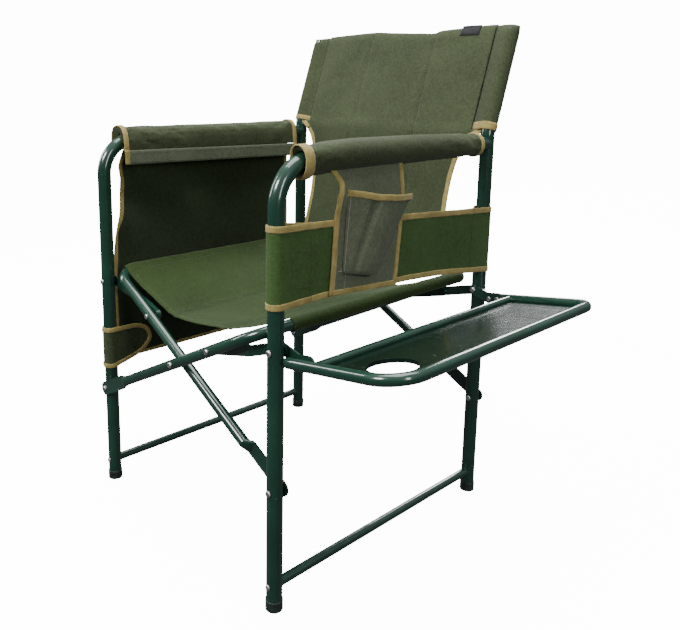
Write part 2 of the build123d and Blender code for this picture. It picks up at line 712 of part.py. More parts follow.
def pocket_section(grow, z, front, rear, depth):
    """The pocket's plan at one height: a rounded box against the band."""
    x0 = LEG_X + SLEEVE_OUT + 0.2 + grow
    x1 = x0 + depth - 2 * grow
    y0, y1 = front + grow, rear - grow
    plane = Plane(origin=((x0 + x1) / 2, (y0 + y1) / 2, z))
    return plane * RectangleRounded(x1 - x0, y1 - y0, min(x1 - x0, y1 - y0) * 0.3)


def bottle_pocket():
    """Open-topped pocket on the right side, narrower at its foot."""
    foot = (-118.0, -42.0, 20.0)
    top = (-121.0, 22.0, 38.0)
    outer = loft([pocket_section(0, POCKET_FOOT, *foot), pocket_section(0, POCKET_TOP, *top)])
    inner = loft([pocket_section(POCKET_WALL, POCKET_FOOT + 2, *foot),
                  pocket_section(POCKET_WALL, POCKET_TOP + 1, *top)])
    return outer - inner


# ---------------------------------------------------------------- the chair's pieces
for side, name in ((-1, "left"), (1, "right")):
    nodes[name + "_side_tube"] = side_tube(side)
    nodes[name + "_back_post"] = back_post(side)
    nodes[name + "_stretcher"] = stretcher(side)
    nodes[name + "_stretcher_inserts"] = stretcher_plugs(side)
    nodes[name + "_stretcher_rivets"] = stretcher_rivets(side)
    nodes[name + "_foot_caps"] = foot_caps(side)
    nodes[name + "_post_cap"] = post_cap(side)
    nodes[name + "_arm_insert"] = arm_insert(side)
    nodes[name + "_arm_screw"] = arm_screw(side)
    nodes[name + "_pivot_bolts"] = low_bolts(side)
    nodes[name + "_link_bolts"] = link_bolts(side)

nodes["seat_frame_b_tube"] = seat_frame_b()
nodes["seat_frame_a_tube"] = half_turn(seat_frame_b())
nodes["seat_frame_b_rivets"] = frame_b_rivets()
nodes["seat_frame_a_rivets"] = half_turn(frame_b_rivets())
nodes["centre_bolts"] = centre_bolts()
nodes["centre_washers"] = centre_washers()

OUTER_FACE = -OUTER_Y + SEAT_R
INNER_FACE = -INNER_Y + SEAT_R
nodes["front_left_link"] = link(-1, INNER_FACE)
nodes["front_left_link_rivet"] = link_rivet(-1, INNER_FACE)
nodes["front_right_link"] = link(1, OUTER_FACE)
nodes["front_right_link_rivet"] = link_rivet(1, OUTER_FACE)
nodes["rear_right_link"] = half_turn(link(-1, INNER_FACE))
nodes["rear_right_link_rivet"] = half_turn(link_rivet(-1, INNER_FACE))
nodes["rear_left_link"] = half_turn(link(1, OUTER_FACE))
nodes["rear_left_link_rivet"] = half_turn(link_rivet(1, OUTER_FACE))

nodes["tray_tube"] = tray_tube()
nodes["tray_end_plugs"] = tray_end_plugs()
nodes["tray_rim"] = tray_rim()
nodes["tray_sheet"] = tray_sheet()
nodes["tray_front_bracket"] = tray_bracket(-1)
nodes["tray_rear_bracket"] = tray_bracket(1)
nodes["tray_rivets"] = tray_rivets()

nodes["seat"] = seat()
nodes["back_cover"] = back_cover()
nodes["back_panel"] = back_panel()
nodes["label_tag"] = label_tag()
nodes["right_arm_pad"] = right_arm_pad()
nodes["left_arm_cover"] = left_arm_cover()
nodes["left_side_panel"] = left_side_panel()
nodes["left_leg_tab"] = left_leg_tab()
nodes["right_side_band"] = right_side_band()
nodes["right_side_panel"] = right_side_panel()
nodes["bottle_pocket"] = bottle_pocket()

for name, shape in nodes.items():
    export_step(shape, f"parts/{name}.step")
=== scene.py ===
import json
import math

import bmesh
import bpy
from mathutils import Matrix, Vector, noise


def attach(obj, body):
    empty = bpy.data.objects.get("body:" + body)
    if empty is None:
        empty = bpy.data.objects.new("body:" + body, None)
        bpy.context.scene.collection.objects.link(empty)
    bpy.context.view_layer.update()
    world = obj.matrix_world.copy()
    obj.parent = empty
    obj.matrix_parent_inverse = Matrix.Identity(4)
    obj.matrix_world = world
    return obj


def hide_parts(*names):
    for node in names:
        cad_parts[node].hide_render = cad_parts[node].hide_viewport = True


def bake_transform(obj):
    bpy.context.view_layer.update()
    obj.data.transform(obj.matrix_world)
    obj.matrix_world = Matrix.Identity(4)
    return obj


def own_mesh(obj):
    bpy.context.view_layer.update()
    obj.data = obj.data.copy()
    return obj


# Folding camp chair with a side tray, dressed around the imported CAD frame.
# Lengths are in millimetres until a mesh is made; MM turns them into metres.

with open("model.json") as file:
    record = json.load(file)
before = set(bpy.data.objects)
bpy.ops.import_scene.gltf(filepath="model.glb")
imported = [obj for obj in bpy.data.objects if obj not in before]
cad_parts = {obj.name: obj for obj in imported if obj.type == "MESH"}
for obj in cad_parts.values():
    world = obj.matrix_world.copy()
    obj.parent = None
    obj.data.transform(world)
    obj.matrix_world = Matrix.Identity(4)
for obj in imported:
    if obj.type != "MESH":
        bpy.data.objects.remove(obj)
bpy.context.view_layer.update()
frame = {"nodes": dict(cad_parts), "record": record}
MM = 0.001

# ---- places in the frame, from the CAD
LEG_X = 245.0
LEG_Y = 252.5
LEG_R = 12.5
ARM_Z = 680.0
RAIL_X, RAIL_Z, RAIL_R = 221.4, 432.9, 9.0
BACK_BEND_Z = 702.0
BACK_RAKE = math.radians(18.5)
CLOTH = 1.2


# ---- mesh helpers
def vec(x, y, z):
    return Vector((x, y, z))


def clamp(value):
    return max(0.0, min(1.0, value))


def fractions(count):
    """From 0 to 1 in equal steps."""
    return [k / count for k in range(count + 1)]


def eased(value):
    """From 0 to 1 with a level start and end."""
    t = clamp(value)
    return t * t * (3 - 2 * t)


def bell(distance, width):
    """1 at no distance, fading over about width."""
    return math.exp(-(distance / width) ** 2)


def smooth_curve(knots, at):
    """A smooth value at one place, through (place, value) knots in order."""
    if at <= knots[0][0]:
        return knots[0][1]
    if at >= knots[-1][0]:
        return knots[-1][1]
    i = max(k for k in range(len(knots) - 1) if knots[k][0] <= at)
    (x0, y0), (x1, y1) = knots[i], knots[i + 1]
    h = x1 - x0

    def rise(k):
        """How much the value would change over this stretch at knot k's slope."""
        before, after = knots[max(0, k - 1)], knots[min(len(knots) - 1, k + 1)]
        return (after[1] - before[1]) / (after[0] - before[0]) * h

    t = (at - x0) / h
    a = 2 * t ** 3 - 3 * t ** 2 + 1
    b = t ** 3 - 2 * t ** 2 + t
    c = -2 * t ** 3 + 3 * t ** 2
    d = t ** 3 - t ** 2
    return a * y0 + b * rise(i) + c * y1 + d * rise(i + 1)


def ripple(a, b, c=0.0, size=60.0, seed=0.0):
    """Smooth noise from -1 to 1 that changes over about size millimetres."""
    return noise.noise(Vector((a / size + seed * 7.3, b / size - seed * 3.1, c / size + seed)))


def lengths(points):
    total = [0.0]
    for a, b in zip(points, points[1:]):
        total.append(total[-1] + (b - a).length)
    return total


def places_along(run, places):
    """For each distance along a run of lengths: its stretch, and its share of that stretch."""
    j = 0
    for s in places:
        while j < len(run) - 2 and run[j + 1] < s:
            j += 1
        yield j, (s - run[j]) / max(run[j + 1] - run[j], 1e-9)


def resampled(points, step, closed=False):
    """Evenly spaced points along a polyline."""
    points = points + points[:1] if closed else points
    run = lengths(points)
    count = max(3, round(run[-1] / step))
    places = [run[-1] * i / count for i in range(count if closed else count + 1)]
    return [points[j].lerp(points[j + 1], t) for j, t in places_along(run, places)]


def new_object(name, bm, material):
    mesh = bpy.data.meshes.new(name)
    bm.normal_update()
    bm.to_mesh(mesh)
    bm.free()
    for poly in mesh.polygons:
        poly.use_smooth = True
    mesh.materials.append(material)
    obj = bpy.data.objects.new(name, mesh)
    bpy.context.scene.collection.objects.link(obj)
    return obj


def keep_modifiers(obj):
    """Turns the object's modifiers into its mesh."""
    depsgraph = bpy.context.evaluated_depsgraph_get()
    mesh = bpy.data.meshes.new_from_object(obj.evaluated_get(depsgraph))
    obj.modifiers.clear()
    old = obj.data
    obj.data = mesh
    bpy.data.meshes.remove(old)
    mesh.name = obj.name


def cloth_faces(bm, verts, along, across, closed_along=False, closed_across=False):
    """Quads between rows of vertices, with their places on the cloth in metres."""
    layer = bm.loops.layers.uv.new("cloth")
    rows, columns = len(verts), len(verts[0])
    for i in range(rows if closed_along else rows - 1):
        k = (i + 1) % rows
        for j in range(columns if closed_across else columns - 1):
            m = (j + 1) % columns
            face = bm.faces.new((verts[i][j], verts[k][j], verts[k][m], verts[i][m]))
            corners = ((i, j), (i + 1, j), (i + 1, j + 1), (i, j + 1))
            for loop, (a, b) in zip(face.loops, corners):
                loop[layer].uv = (along[a] * MM, across[b] * MM)


def grid(name, point, nu, nv, material, thick=CLOTH):
    """Cloth from point(u, v), u and v from 0 to 1."""
    bm = bmesh.new()
    rows = [[point(u, v) for v in fractions(nv)] for u in fractions(nu)]
    verts = [[bm.verts.new(p * MM) for p in row] for row in rows]
    cloth_faces(bm, verts, lengths([row[nv // 2] for row in rows]), lengths(rows[len(rows) // 2]))
    obj = new_object(name, bm, material)
    solid = obj.modifiers.new("thickness", "SOLIDIFY")
    solid.thickness = thick * MM
    solid.offset = 0.0
    keep_modifiers(obj)
    return obj


def frames_along(points, inward, closed):
    """At each point: the direction into the cloth and the cloth's normal."""
    out = []
    n = len(points)
    for i, p in enumerate(points):
        before = points[i - 1] if closed or i > 0 else p
        after = points[(i + 1) % n] if closed or i < n - 1 else p
        tangent = (after - before).normalized()
        into = inward(p, i / n) if callable(inward) else inward
        into = (into - tangent * into.dot(tangent)).normalized()
        out.append((into, tangent.cross(into).normalized()))
    return out


TAPE_SECTION = [(1.0, 0.78), (0.72, 1.0), (0.3, 1.03), (0.04, 0.98), (-0.07, 0.62), (-0.1, 0.0),
                (-0.07, -0.62), (0.04, -0.98), (0.3, -1.03), (0.72, -1.0), (1.0, -0.78), (1.02, 0.0)]
TAPE_STEP = 3.0


def tape(name, points, inward, width, half, closed=False, seed=1.0, material=None):
    """Binding folded over a cloth's edge, with its two rows of stitches."""
    points = resampled(points, TAPE_STEP, closed)
    around = frames_along(points, inward, closed)
    run = lengths(points + points[:1] if closed else points)
    bm = bmesh.new()
    rings = []
    for p, s, (into, normal) in zip(points, run, around):
        swell = 1.0 + 0.05 * ripple(s, 0, seed=seed, size=9.0)
        drift = 0.35 * ripple(s, 5, seed=seed, size=25.0)
        rings.append([bm.verts.new((p + into * (a * width * swell + drift) + normal * (b * half)) * MM)
                      for a, b in TAPE_SECTION])
    size = len(TAPE_SECTION)
    cloth_faces(bm, rings, run, [2 * width * k / size for k in range(size + 1)], closed, True)
    if not closed:
        bm.faces.new(rings[0])
        bm.faces.new(list(reversed(rings[-1])))
    bmesh.ops.recalc_face_normals(bm, faces=bm.faces)
    obj = new_object(name, bm, material or mat_tape)
    for sign in (-1, 1):
        line = [p + into * (width * 0.84) + normal * (sign * half * 0.98)
                for p, (into, normal) in zip(points, around)]
        keep_stitches(line, [normal * sign for _, normal in around], closed)
    return obj


# ---- stitches
stitch_rows = {}
stitch_group = {"name": "left"}
THREAD_R = 0.34
STITCH_SIDES = 5


def keep_stitches(line, normals, closed=False, pitch=3.4, kind=0):
    """Keeps one row of stitches for the current group; make_stitches builds them."""
    stitch_rows.setdefault(stitch_group["name"], []).append((line, normals, closed, pitch, kind))


def make_stitches(group):
    bm = bmesh.new()
    for line, normals, closed, pitch, kind in stitch_rows.get(group, []):
        if closed:
            line, normals = line + line[:1], normals + normals[:1]
        run = lengths(line)
        middles = [(i + 0.5) * pitch for i in range(int(run[-1] / pitch))]
        for j, t in places_along(run, middles):
            along = (line[j + 1] - line[j]).normalized()
            up = normals[j].lerp(normals[j + 1], t).normalized()
            centre = line[j].lerp(line[j + 1], t) + up * THREAD_R * 0.4
            one_stitch(bm, centre, along, up, pitch * 0.36, kind)
    obj = new_object("stitching_" + group, bm, mat_thread_beige)
    obj.data.materials.append(mat_thread_green)
    obj.data.materials.append(mat_thread_pale)
    return obj


def one_stitch(bm, centre, along, up, half, kind):
    """A short thread with narrower, sunk ends."""
    side = along.cross(up).normalized()
    turns = [k * math.tau / STITCH_SIDES for k in range(STITCH_SIDES)]
    rings = []
    for a, r in ((-half, 0.45), (-half * 0.55, 1.0), (half * 0.55, 1.0), (half, 0.45)):
        middle = centre + along * a - up * (0.25 * THREAD_R if r < 1 else 0.0)
        rings.append([bm.verts.new((middle + (up * math.sin(q) + side * math.cos(q)) * r * THREAD_R) * MM)
                      for q in turns])
    faces = [list(reversed(rings[0])), rings[-1]]
    for first, second in zip(rings, rings[1:]):
        for k in range(STITCH_SIDES):
            m = (k + 1) % STITCH_SIDES
            faces.append((first[k], first[m], second[m], second[k]))
    for corners in faces:
        bm.faces.new(corners).material_index = kind


def seam(points, normal, pitch=3.4, kind=1):
    """A row of stitches on a cloth's face."""
    pts = resampled(points, 4.0)
    keep_stitches(pts, [normal] * len(pts), False, pitch, kind)


# ---- materials
class Tree:
    """Short calls for a material's nodes."""

    def __init__(self, name):
        self.material = bpy.data.materials.new(name)
        self.material.use_nodes = True
        self.nodes = self.material.node_tree.nodes
        self.links = self.material.node_tree.links
        self.shader = next(n for n in self.nodes if n.type == "BSDF_PRINCIPLED")
        self.where = self.add("TexCoord").outputs["Object"]

    def add(self, kind, inputs=None, **settings):
        made = self.nodes.new("ShaderNode" + kind)
        for key, value in settings.items():
            setattr(made, key, value)
        for key, value in (inputs or {}).items():
            self.put(made, key, value)
        return made

    def put(self, target, key, value):
        if isinstance(value, bpy.types.NodeSocket):
            self.links.new(value, target.inputs[key])
        else:
            target.inputs[key].default_value = value

    def set(self, **values):
        for key, value in values.items():
            self.put(self.shader, key.replace("_", " "), value)

    def math(self, operation, a, b=0.0, c=0.0):
        return self.add("Math", {0: a, 1: b, 2: c}, operation=operation).outputs[0]

    def times(self, a, b):
        return self.math("MULTIPLY", a, b)

    def times_plus(self, a, b, c):
        return self.math("MULTIPLY_ADD", a, b, c)

    def threads(self, warp, weft):
        """Two waves over the cloth's own coordinates, at these spacings in millimetres."""
        uv = self.add("UVMap", uv_map="cloth").outputs["UV"]
        split = self.add("SeparateXYZ", {"Vector": uv}).outputs
        return [self.math("SINE", self.times(split[axis], math.tau / (spacing * MM)))
                for axis, spacing in (("X", warp), ("Y", weft))]

    def noise(self, scale, detail=2.0, rough=0.5):
        inputs = {"Vector": self.where, "Scale": scale, "Detail": detail, "Roughness": rough}
        return self.add("TexNoise", inputs).outputs["Fac"]

    def ramp(self, value, stops):
        made = self.add("ValToRGB", {"Fac": value})
        points = made.color_ramp.elements
        points[0].position, points[0].color = stops[0][0], colour4(stops[0][1])
        points[1].position, points[1].color = stops[-1][0], colour4(stops[-1][1])
        for place, shade in stops[1:-1]:
            points.new(place).color = colour4(shade)
        return made.outputs["Color"]

    def mix(self, factor, a, b, blend="MIX"):
        made = self.add("Mix", data_type="RGBA", blend_type=blend)
        for key, value in ((0, factor), (6, a), (7, b)):
            if isinstance(value, tuple):
                value = colour4(value)
            self.put(made, key, value)
        return made.outputs[2]

    def bump(self, height, strength, distance, normal=None):
        inputs = {"Height": height, "Strength": strength, "Distance": distance}
        if normal is not None:
            inputs["Normal"] = normal
        return self.add("Bump", inputs).outputs["Normal"]


def colour4(value):
    if isinstance(value, (int, float)):
        return (value, value, value, 1.0)
    return tuple(value)[:3] + (1.0,)


def canvas(name, dark, light, speckle=0.5, weave=1.15):
    """Coarse plain-weave canvas: threads from the cloth's own coordinates, uneven dye, soft creases."""
    t = Tree(name)
    warp, weft = t.threads(2 * weave, 2 * weave)
    over = t.times_plus(t.times(warp, weft), 0.5, 0.5)
    fleck = t.noise(620.0, 2.0, 0.6)
    slub = t.noise(210.0, 3.0, 0.55)
    patch = t.noise(9.0, 3.0, 0.5)
    crease = t.noise(26.0, 2.0, 0.5)
    mixed = t.times_plus(fleck, speckle, t.times(over, 0.25))
    mixed = t.times_plus(slub, 0.5, t.times(mixed, 0.9))
    mixed = t.times_plus(patch, 0.35, t.math("SUBTRACT", mixed, 0.17))
    middle = [0.5 * (a + b) for a, b in zip(dark, light)]
    shade = t.ramp(mixed, [(0.28, dark), (0.52, middle), (0.82, light)])
    fine = t.bump(t.times_plus(fleck, 0.35, over), 0.55, 0.00035)
    soft = t.bump(t.times_plus(slub, 0.12, crease), 0.22, 0.004, fine)
    t.set(Base_Color=shade, Normal=soft, Roughness=t.times_plus(fleck, 0.15, 0.76), Sheen_Weight=0.07,
          Sheen_Roughness=0.5, Specular_IOR_Level=0.14)
    return t.material


def tape_material(name, dark, light):
    """Ribbed binding tape, soiled in places."""
    t = Tree(name)
    ribs, cross = t.threads(1.5, 1.1)
    grime = t.noise(34.0, 3.0, 0.6)
    fleck = t.noise(520.0, 2.0, 0.6)
    height = t.times_plus(cross, 0.3, ribs)
    value = t.times_plus(ribs, 0.07, t.times_plus(grime, 0.7, t.times(fleck, 0.45)))
    middle = [0.45 * a + 0.55 * b for a, b in zip(dark, light)]
    shade = t.ramp(value, [(0.32, dark), (0.55, middle), (0.8, light)])
    t.set(Base_Color=shade, Normal=t.bump(height, 0.4, 0.0003), Roughness=0.78, Sheen_Weight=0.12,
          Specular_IOR_Level=0.25)
    return t.material


def powder_coat(name, deep, pale, rough=0.2, coat=0.6, peel_depth=0.06):
    """Gloss paint on steel tube: faint orange peel, cloudy colour, rubbed edges."""
    t = Tree(name)
    peel = t.noise(420.0, 2.0, 0.5)
    worn = t.noise(75.0, 4.0, 0.65)
    shade = t.ramp(t.noise(14.0, 3.0, 0.55), [(0.3, deep), (0.72, pale)])
    rub = t.ramp(t.add("NewGeometry").outputs["Pointiness"], [(0.53, 0.0), (0.6, 1.0)])
    scuff = t.ramp(worn, [(0.66, 0.0), (0.74, 1.0)])
    shade = t.mix(t.times(t.times(rub, scuff), 0.35), shade, (0.2, 0.24, 0.22))
    t.set(Base_Color=shade, Normal=t.bump(peel, peel_depth, 0.0004), Coat_Weight=coat,
          Roughness=t.times_plus(worn, 0.14, rough - 0.07), Coat_Roughness=0.06, Specular_IOR_Level=0.5)
    return t.material


def zinc_plate(name):
    t = Tree(name)
    spangle = t.add("TexVoronoi", {"Vector": t.where, "Scale": 420.0}).outputs["Distance"]
    cloud = t.noise(160.0, 3.0, 0.6)
    shade = t.ramp(cloud, [(0.3, (0.52, 0.53, 0.52)), (0.7, (0.82, 0.83, 0.82))])
    t.set(Base_Color=shade, Metallic=1.0, Roughness=t.times_plus(spangle, 0.25, 0.2),
          Normal=t.bump(cloud, 0.12, 0.0003))
    return t.material


def moulded_plastic(name, deep, pale):
    t = Tree(name)
    dust = t.noise(60.0, 4.0, 0.6)
    t.set(Base_Color=t.ramp(dust, [(0.35, deep), (0.75, pale)]), Roughness=t.times_plus(dust, 0.25, 0.34),
          Normal=t.bump(t.noise(900.0, 2.0, 0.5), 0.2, 0.0003))
    return t.material


def thread_material(name, shade):
    t = Tree(name)
    twist = t.noise(1500.0, 1.0, 0.5)
    colour = t.ramp(twist, [(0.3, [0.6 * c for c in shade]), (0.7, shade)])
    t.set(Base_Color=colour, Roughness=0.6, Normal=t.bump(twist, 0.3, 0.0002), Sheen_Weight=0.2)
    return t.material


mat_canvas = canvas("canvas_olive", (0.0125, 0.0185, 0.0072), (0.062, 0.078, 0.037))
mat_canvas_seat = canvas("canvas_seat", (0.0080, 0.0175, 0.0032), (0.034, 0.060, 0.0135), speckle=0.4)
mat_canvas_band = canvas("canvas_band", (0.0115, 0.0268, 0.0058), (0.056, 0.108, 0.029), speckle=0.6)
# a darker copy of the olive canvas: painted shade for the left side cloth's inner face under the arm cover
mat_canvas_painted_shade = canvas("canvas_painted_shade", (0.0070, 0.0115, 0.0046), (0.034, 0.048, 0.022))
# a paler copy of the canvas: worn cloth on the pocket and its panel, and painted light on the left arm's
# flap
mat_canvas_worn_and_painted_light = canvas("canvas_worn_and_painted_light", (0.021, 0.027, 0.014), (0.120, 0.138, 0.090), speckle=0.75)
mat_tape = tape_material("binding_khaki", (0.15, 0.112, 0.030), (0.42, 0.335, 0.112))
mat_label = canvas("woven_tag", (0.006, 0.006, 0.007), (0.03, 0.03, 0.032), weave=0.5)
mat_frame = powder_coat("paint_green", (0.0072, 0.0320, 0.0200), (0.0120, 0.0500, 0.0315))
mat_tray = powder_coat("enamel_tray", (0.0009, 0.0085, 0.0048), (0.0016, 0.0135, 0.0078),
                       rough=0.24, coat=0.12, peel_depth=0.02)
mat_zinc = zinc_plate("zinc_bright")
mat_cap = moulded_plastic("plastic_green_black", (0.008, 0.014, 0.012), (0.03, 0.045, 0.04))
mat_thread_beige = thread_material("thread_khaki", (0.42, 0.32, 0.14))
mat_thread_green = thread_material("thread_green", (0.062, 0.078, 0.042))
mat_thread_pale = thread_material("thread_pale", (0.50, 0.52, 0.42))

SLOT_MATERIALS = {"frame_paint": mat_frame, "tray_paint": mat_tray, "zinc": mat_zinc,
                  "cap_plastic": mat_cap, "cloth": mat_canvas, "cloth_seat": mat_canvas_seat,
                  "label": mat_label}


def dress_cad_nodes():
    """Every carried-over CAD node gets the material of its slot."""
    for part in frame["record"]["subparts"]:
        obj = frame["nodes"][part["node"]]
        material = SLOT_MATERIALS[part["material_slot"]]
        if not obj.material_slots:
            obj.data.materials.append(material)
        for slot in obj.material_slots:
            slot.link = "OBJECT"
            slot.material = material


dress_cad_nodes()


def settle(body, *pieces, slot="cloth"):
    """The pieces ride on a body."""
    for piece in pieces:
        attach(piece, body)


# ---- seat
SEAT_SEAM_X = 81.0
SEAT_KNOTS_FRONT = [(-216, 441), (-150, 404), (-81, 377), (0, 381), (81, 393), (160, 418), (216, 441)]
SEAT_KNOTS_REAR = [(-216, 441), (-150, 409), (-81, 388), (0, 384), (81, 390), (160, 412), (216, 441)]
SEAT_EDGE_Y = 216.0
SEAT_NOTCH_Y = 203.0
SEAT_REACH = 15.0
SEAT_HOLLOW = 13.0
RAIL_STRAIGHT = 206.5        # where the rails' tighter bends start
TIGHT_BEND = 38.0
SEAT_SLOPE = math.atan2(319.5 - 194.0, LEG_X)
LEAVE_ANGLE = 56.0           # where the cloth leaves the rail, above its level
SLEEVE_WRAP = 325.0          # how far it goes round the rail before that
SLEEVE_R = RAIL_R + 0.6 + CLOTH / 2


def seat_section():
    """Across the seat as (x, z): round the left rail, over the sheet (no z yet), round the right rail."""
    def on_rail(side, share):
        angle = math.radians(LEAVE_ANGLE + SLEEVE_WRAP * share)
        return side * (RAIL_X - SLEEVE_R * math.cos(angle)), RAIL_Z + SLEEVE_R * math.sin(angle)

    shares = fractions(17)
    leave = on_rail(1, 0)[0]
    points = [on_rail(-1, share) for share in reversed(shares)]
    points += [(-leave + 2 * leave * k / 56, None) for k in range(1, 56)]
    return points + [on_rail(1, share) for share in shares]


def seat_height(x, y):
    """Top of the seat cloth, deeper at the front and pinched at its two seams."""
    t = eased((y + SEAT_EDGE_Y) / (2 * SEAT_EDGE_Y))
    z = smooth_curve(SEAT_KNOTS_FRONT, x) * (1 - t) + smooth_curve(SEAT_KNOTS_REAR, x) * t
    edge = clamp((SEAT_KNOTS_REAR[-1][0] - abs(x)) / 26.0)
    for seam_x in (-SEAT_SEAM_X, SEAT_SEAM_X):
        z += 1.6 * bell(x - seam_x, 3.2)
        z -= 2.0 * bell(abs(x - seam_x) - 9.0, 6.0)
    z += edge * (1.6 * ripple(x, y, size=70, seed=2) + 0.6 * ripple(x, y, size=22, seed=5))
    return z


def seat_edge(x, end):
    """The cloth's front (end -1) or rear (end 1) edge.

    It runs on over the tighter bend at one corner and stops short of the wider one at the other.
    The rear edge is hollow, clear of the back's foot when the chair folds.
    """
    edge = SEAT_EDGE_Y
    if end > 0:
        edge -= SEAT_HOLLOW * (1 - min(1.0, (x / 150.0) ** 2))
    if end * x > 0:
        edge += SEAT_REACH * eased((end * x - SEAT_SEAM_X) / (RAIL_X - 12.0 - SEAT_SEAM_X))
    else:
        inset = clamp((abs(x) - 200.0) / 12.0) ** 2
        edge = edge * (1 - inset) + SEAT_NOTCH_Y * inset
    return end * edge


def on_the_bend(side, y):
    """Where the tube has turned in from the rail: how far, and how much wider its cut is there."""
    past = max(0.0, side * y - RAIL_STRAIGHT)
    run = math.sqrt(TIGHT_BEND ** 2 - past ** 2)
    return TIGHT_BEND - run, TIGHT_BEND / run


def build_seat():
    section = seat_section()
    count = len(section) - 1

    def point(u, v):
        x, z = section[round(u * count)]
        side = 1 if x > 0 else -1
        front, rear = seat_edge(x, -1), seat_edge(x, 1)
        y = front + (rear - front) * v
        turned, wider = on_the_bend(side, y)
        inward = vec(-side * math.cos(SEAT_SLOPE), 0, -math.sin(SEAT_SLOPE))
        if z is None:
            x *= 1 - turned * math.cos(SEAT_SLOPE) / RAIL_X * (abs(x) / RAIL_X) ** 3
            return vec(x, y, seat_height(x, y))
        away = vec(x - side * RAIL_X, 0, z - RAIL_Z)
        away += away.normalized() * (0.3 + 0.3 * ripple(y, z, x, size=24, seed=3))
        away += inward * (away.dot(inward) * (wider - 1) + turned)
        return vec(side * RAIL_X, y, RAIL_Z) + away

    def top(x, y):
        return vec(x, y, seat_height(x, y) + CLOTH / 2)

    seat = grid("seat_cloth", point, count, 84, mat_canvas_seat)
    stitch_group["name"] = "seat"
    for x in (-SEAT_SEAM_X, SEAT_SEAM_X):
        for shift in (-3.2, 3.2):
            seam([top(x + shift, y) for y in range(-208, 209, 8)], vec(0, 0, 1))
    for side in (-1, 1):
        seam([top(side * (RAIL_X - 17.0), y) for y in range(-180, 181, 6)], vec(-side * 0.4, 0, 0.9))
    for end in (-1, 1):
        seam([top(x, seat_edge(x, end) - end * 9.0) for x in range(-192, 193, 6)], vec(0, 0, 1))
    stitches = make_stitches("seat")
    for piece in (seat, stitches):
        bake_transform(piece)
    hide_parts("seat")


# ---- back
BACK_SEAMS = (-81.0, 82.0)
SLEEVE_SEAM = 213.0
BACK_TOP = [(-262, 192), (-215, 198), (-150, 201), (-81, 202.5), (-30, 199), (30, 195), (78, 193),
            (88, 197), (150, 200), (204, 202.5), (262, 199)]
PANEL_HALF = [(452, 190), (474, 187), (520, 183), (560, 181), (610, 184), (652, 193), (675, 204),
              (690, 219), (698, 232), (704, 246)]
BACK_FOOT_S = -250.0         # the front cloth's foot, below the bend
EAR_FOOT_S = -16.0


def back_point(x, along, out=0.0):
    """A point on the leaning back: along its rise from the bend, out towards the sitter."""
    y = LEG_Y + along * math.sin(BACK_RAKE) - out * math.cos(BACK_RAKE)
    z = BACK_BEND_Z + along * math.cos(BACK_RAKE) + out * math.sin(BACK_RAKE)
    return vec(x, y, z)


def lower_back_point(x, z, out=0.0):
    """Below the bend the cloth runs down and forward to the seat's rear edge."""
    t = (z - BACK_BEND_Z) / BACK_FOOT_S
    y = LEG_Y - 4.0 - 38.0 * t + 3.0 * math.sin(math.pi * t) - out
    return vec(x, y, z)


def back_bulge(x, s):
    """How far the back's cloth stands off its plane, towards the sitter."""
    out = 1.5 * ripple(x, s, size=75, seed=11) + 0.8 * ripple(x, s, size=28, seed=12)
    for seam_x in BACK_SEAMS:
        out -= 1.6 * bell(x - seam_x, 3.0)
        out += 1.2 * bell(abs(x - seam_x) - 11.0, 8.0)
    for low in (-150.0, 0.0, 150.0):
        out += 2.0 * bell(x - low, 45.0) * math.sin(math.pi * clamp(s / 200.0))
    return out


def back_sheet_point(x, s, out=0.0):
    """The front cloth in one piece, from below the bend (s under 0) to the top."""
    low = lower_back_point(x, BACK_BEND_Z + s, out)
    return low.lerp(back_point(x, s, out + 1.5), eased((s + 14.0) / 28.0))


def back_half_width(s):
    if s > 0:
        return SLEEVE_SEAM
    return min(SLEEVE_SEAM, smooth_curve(PANEL_HALF, BACK_BEND_Z + s))


def back_relief(x, s):
    """The front cloth's swell, flat at its top edge and towards its sleeves."""
    top = smooth_curve(BACK_TOP, x)
    near_top = clamp((top - s) / 14.0)
    cup = 1.0 - math.exp(-max(0.0, back_half_width(s) - abs(x)) / 12.0)
    wave = 2.2 * ripple(x, s, size=95, seed=15) * clamp(-s / 120.0)
    return 2.2 * near_top + (back_bulge(x, max(s, 0.0)) + wave + 1.0) * cup * near_top


def fold_with_back(piece):
    """Gives the piece its own copy of its mesh."""
    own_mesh(piece)


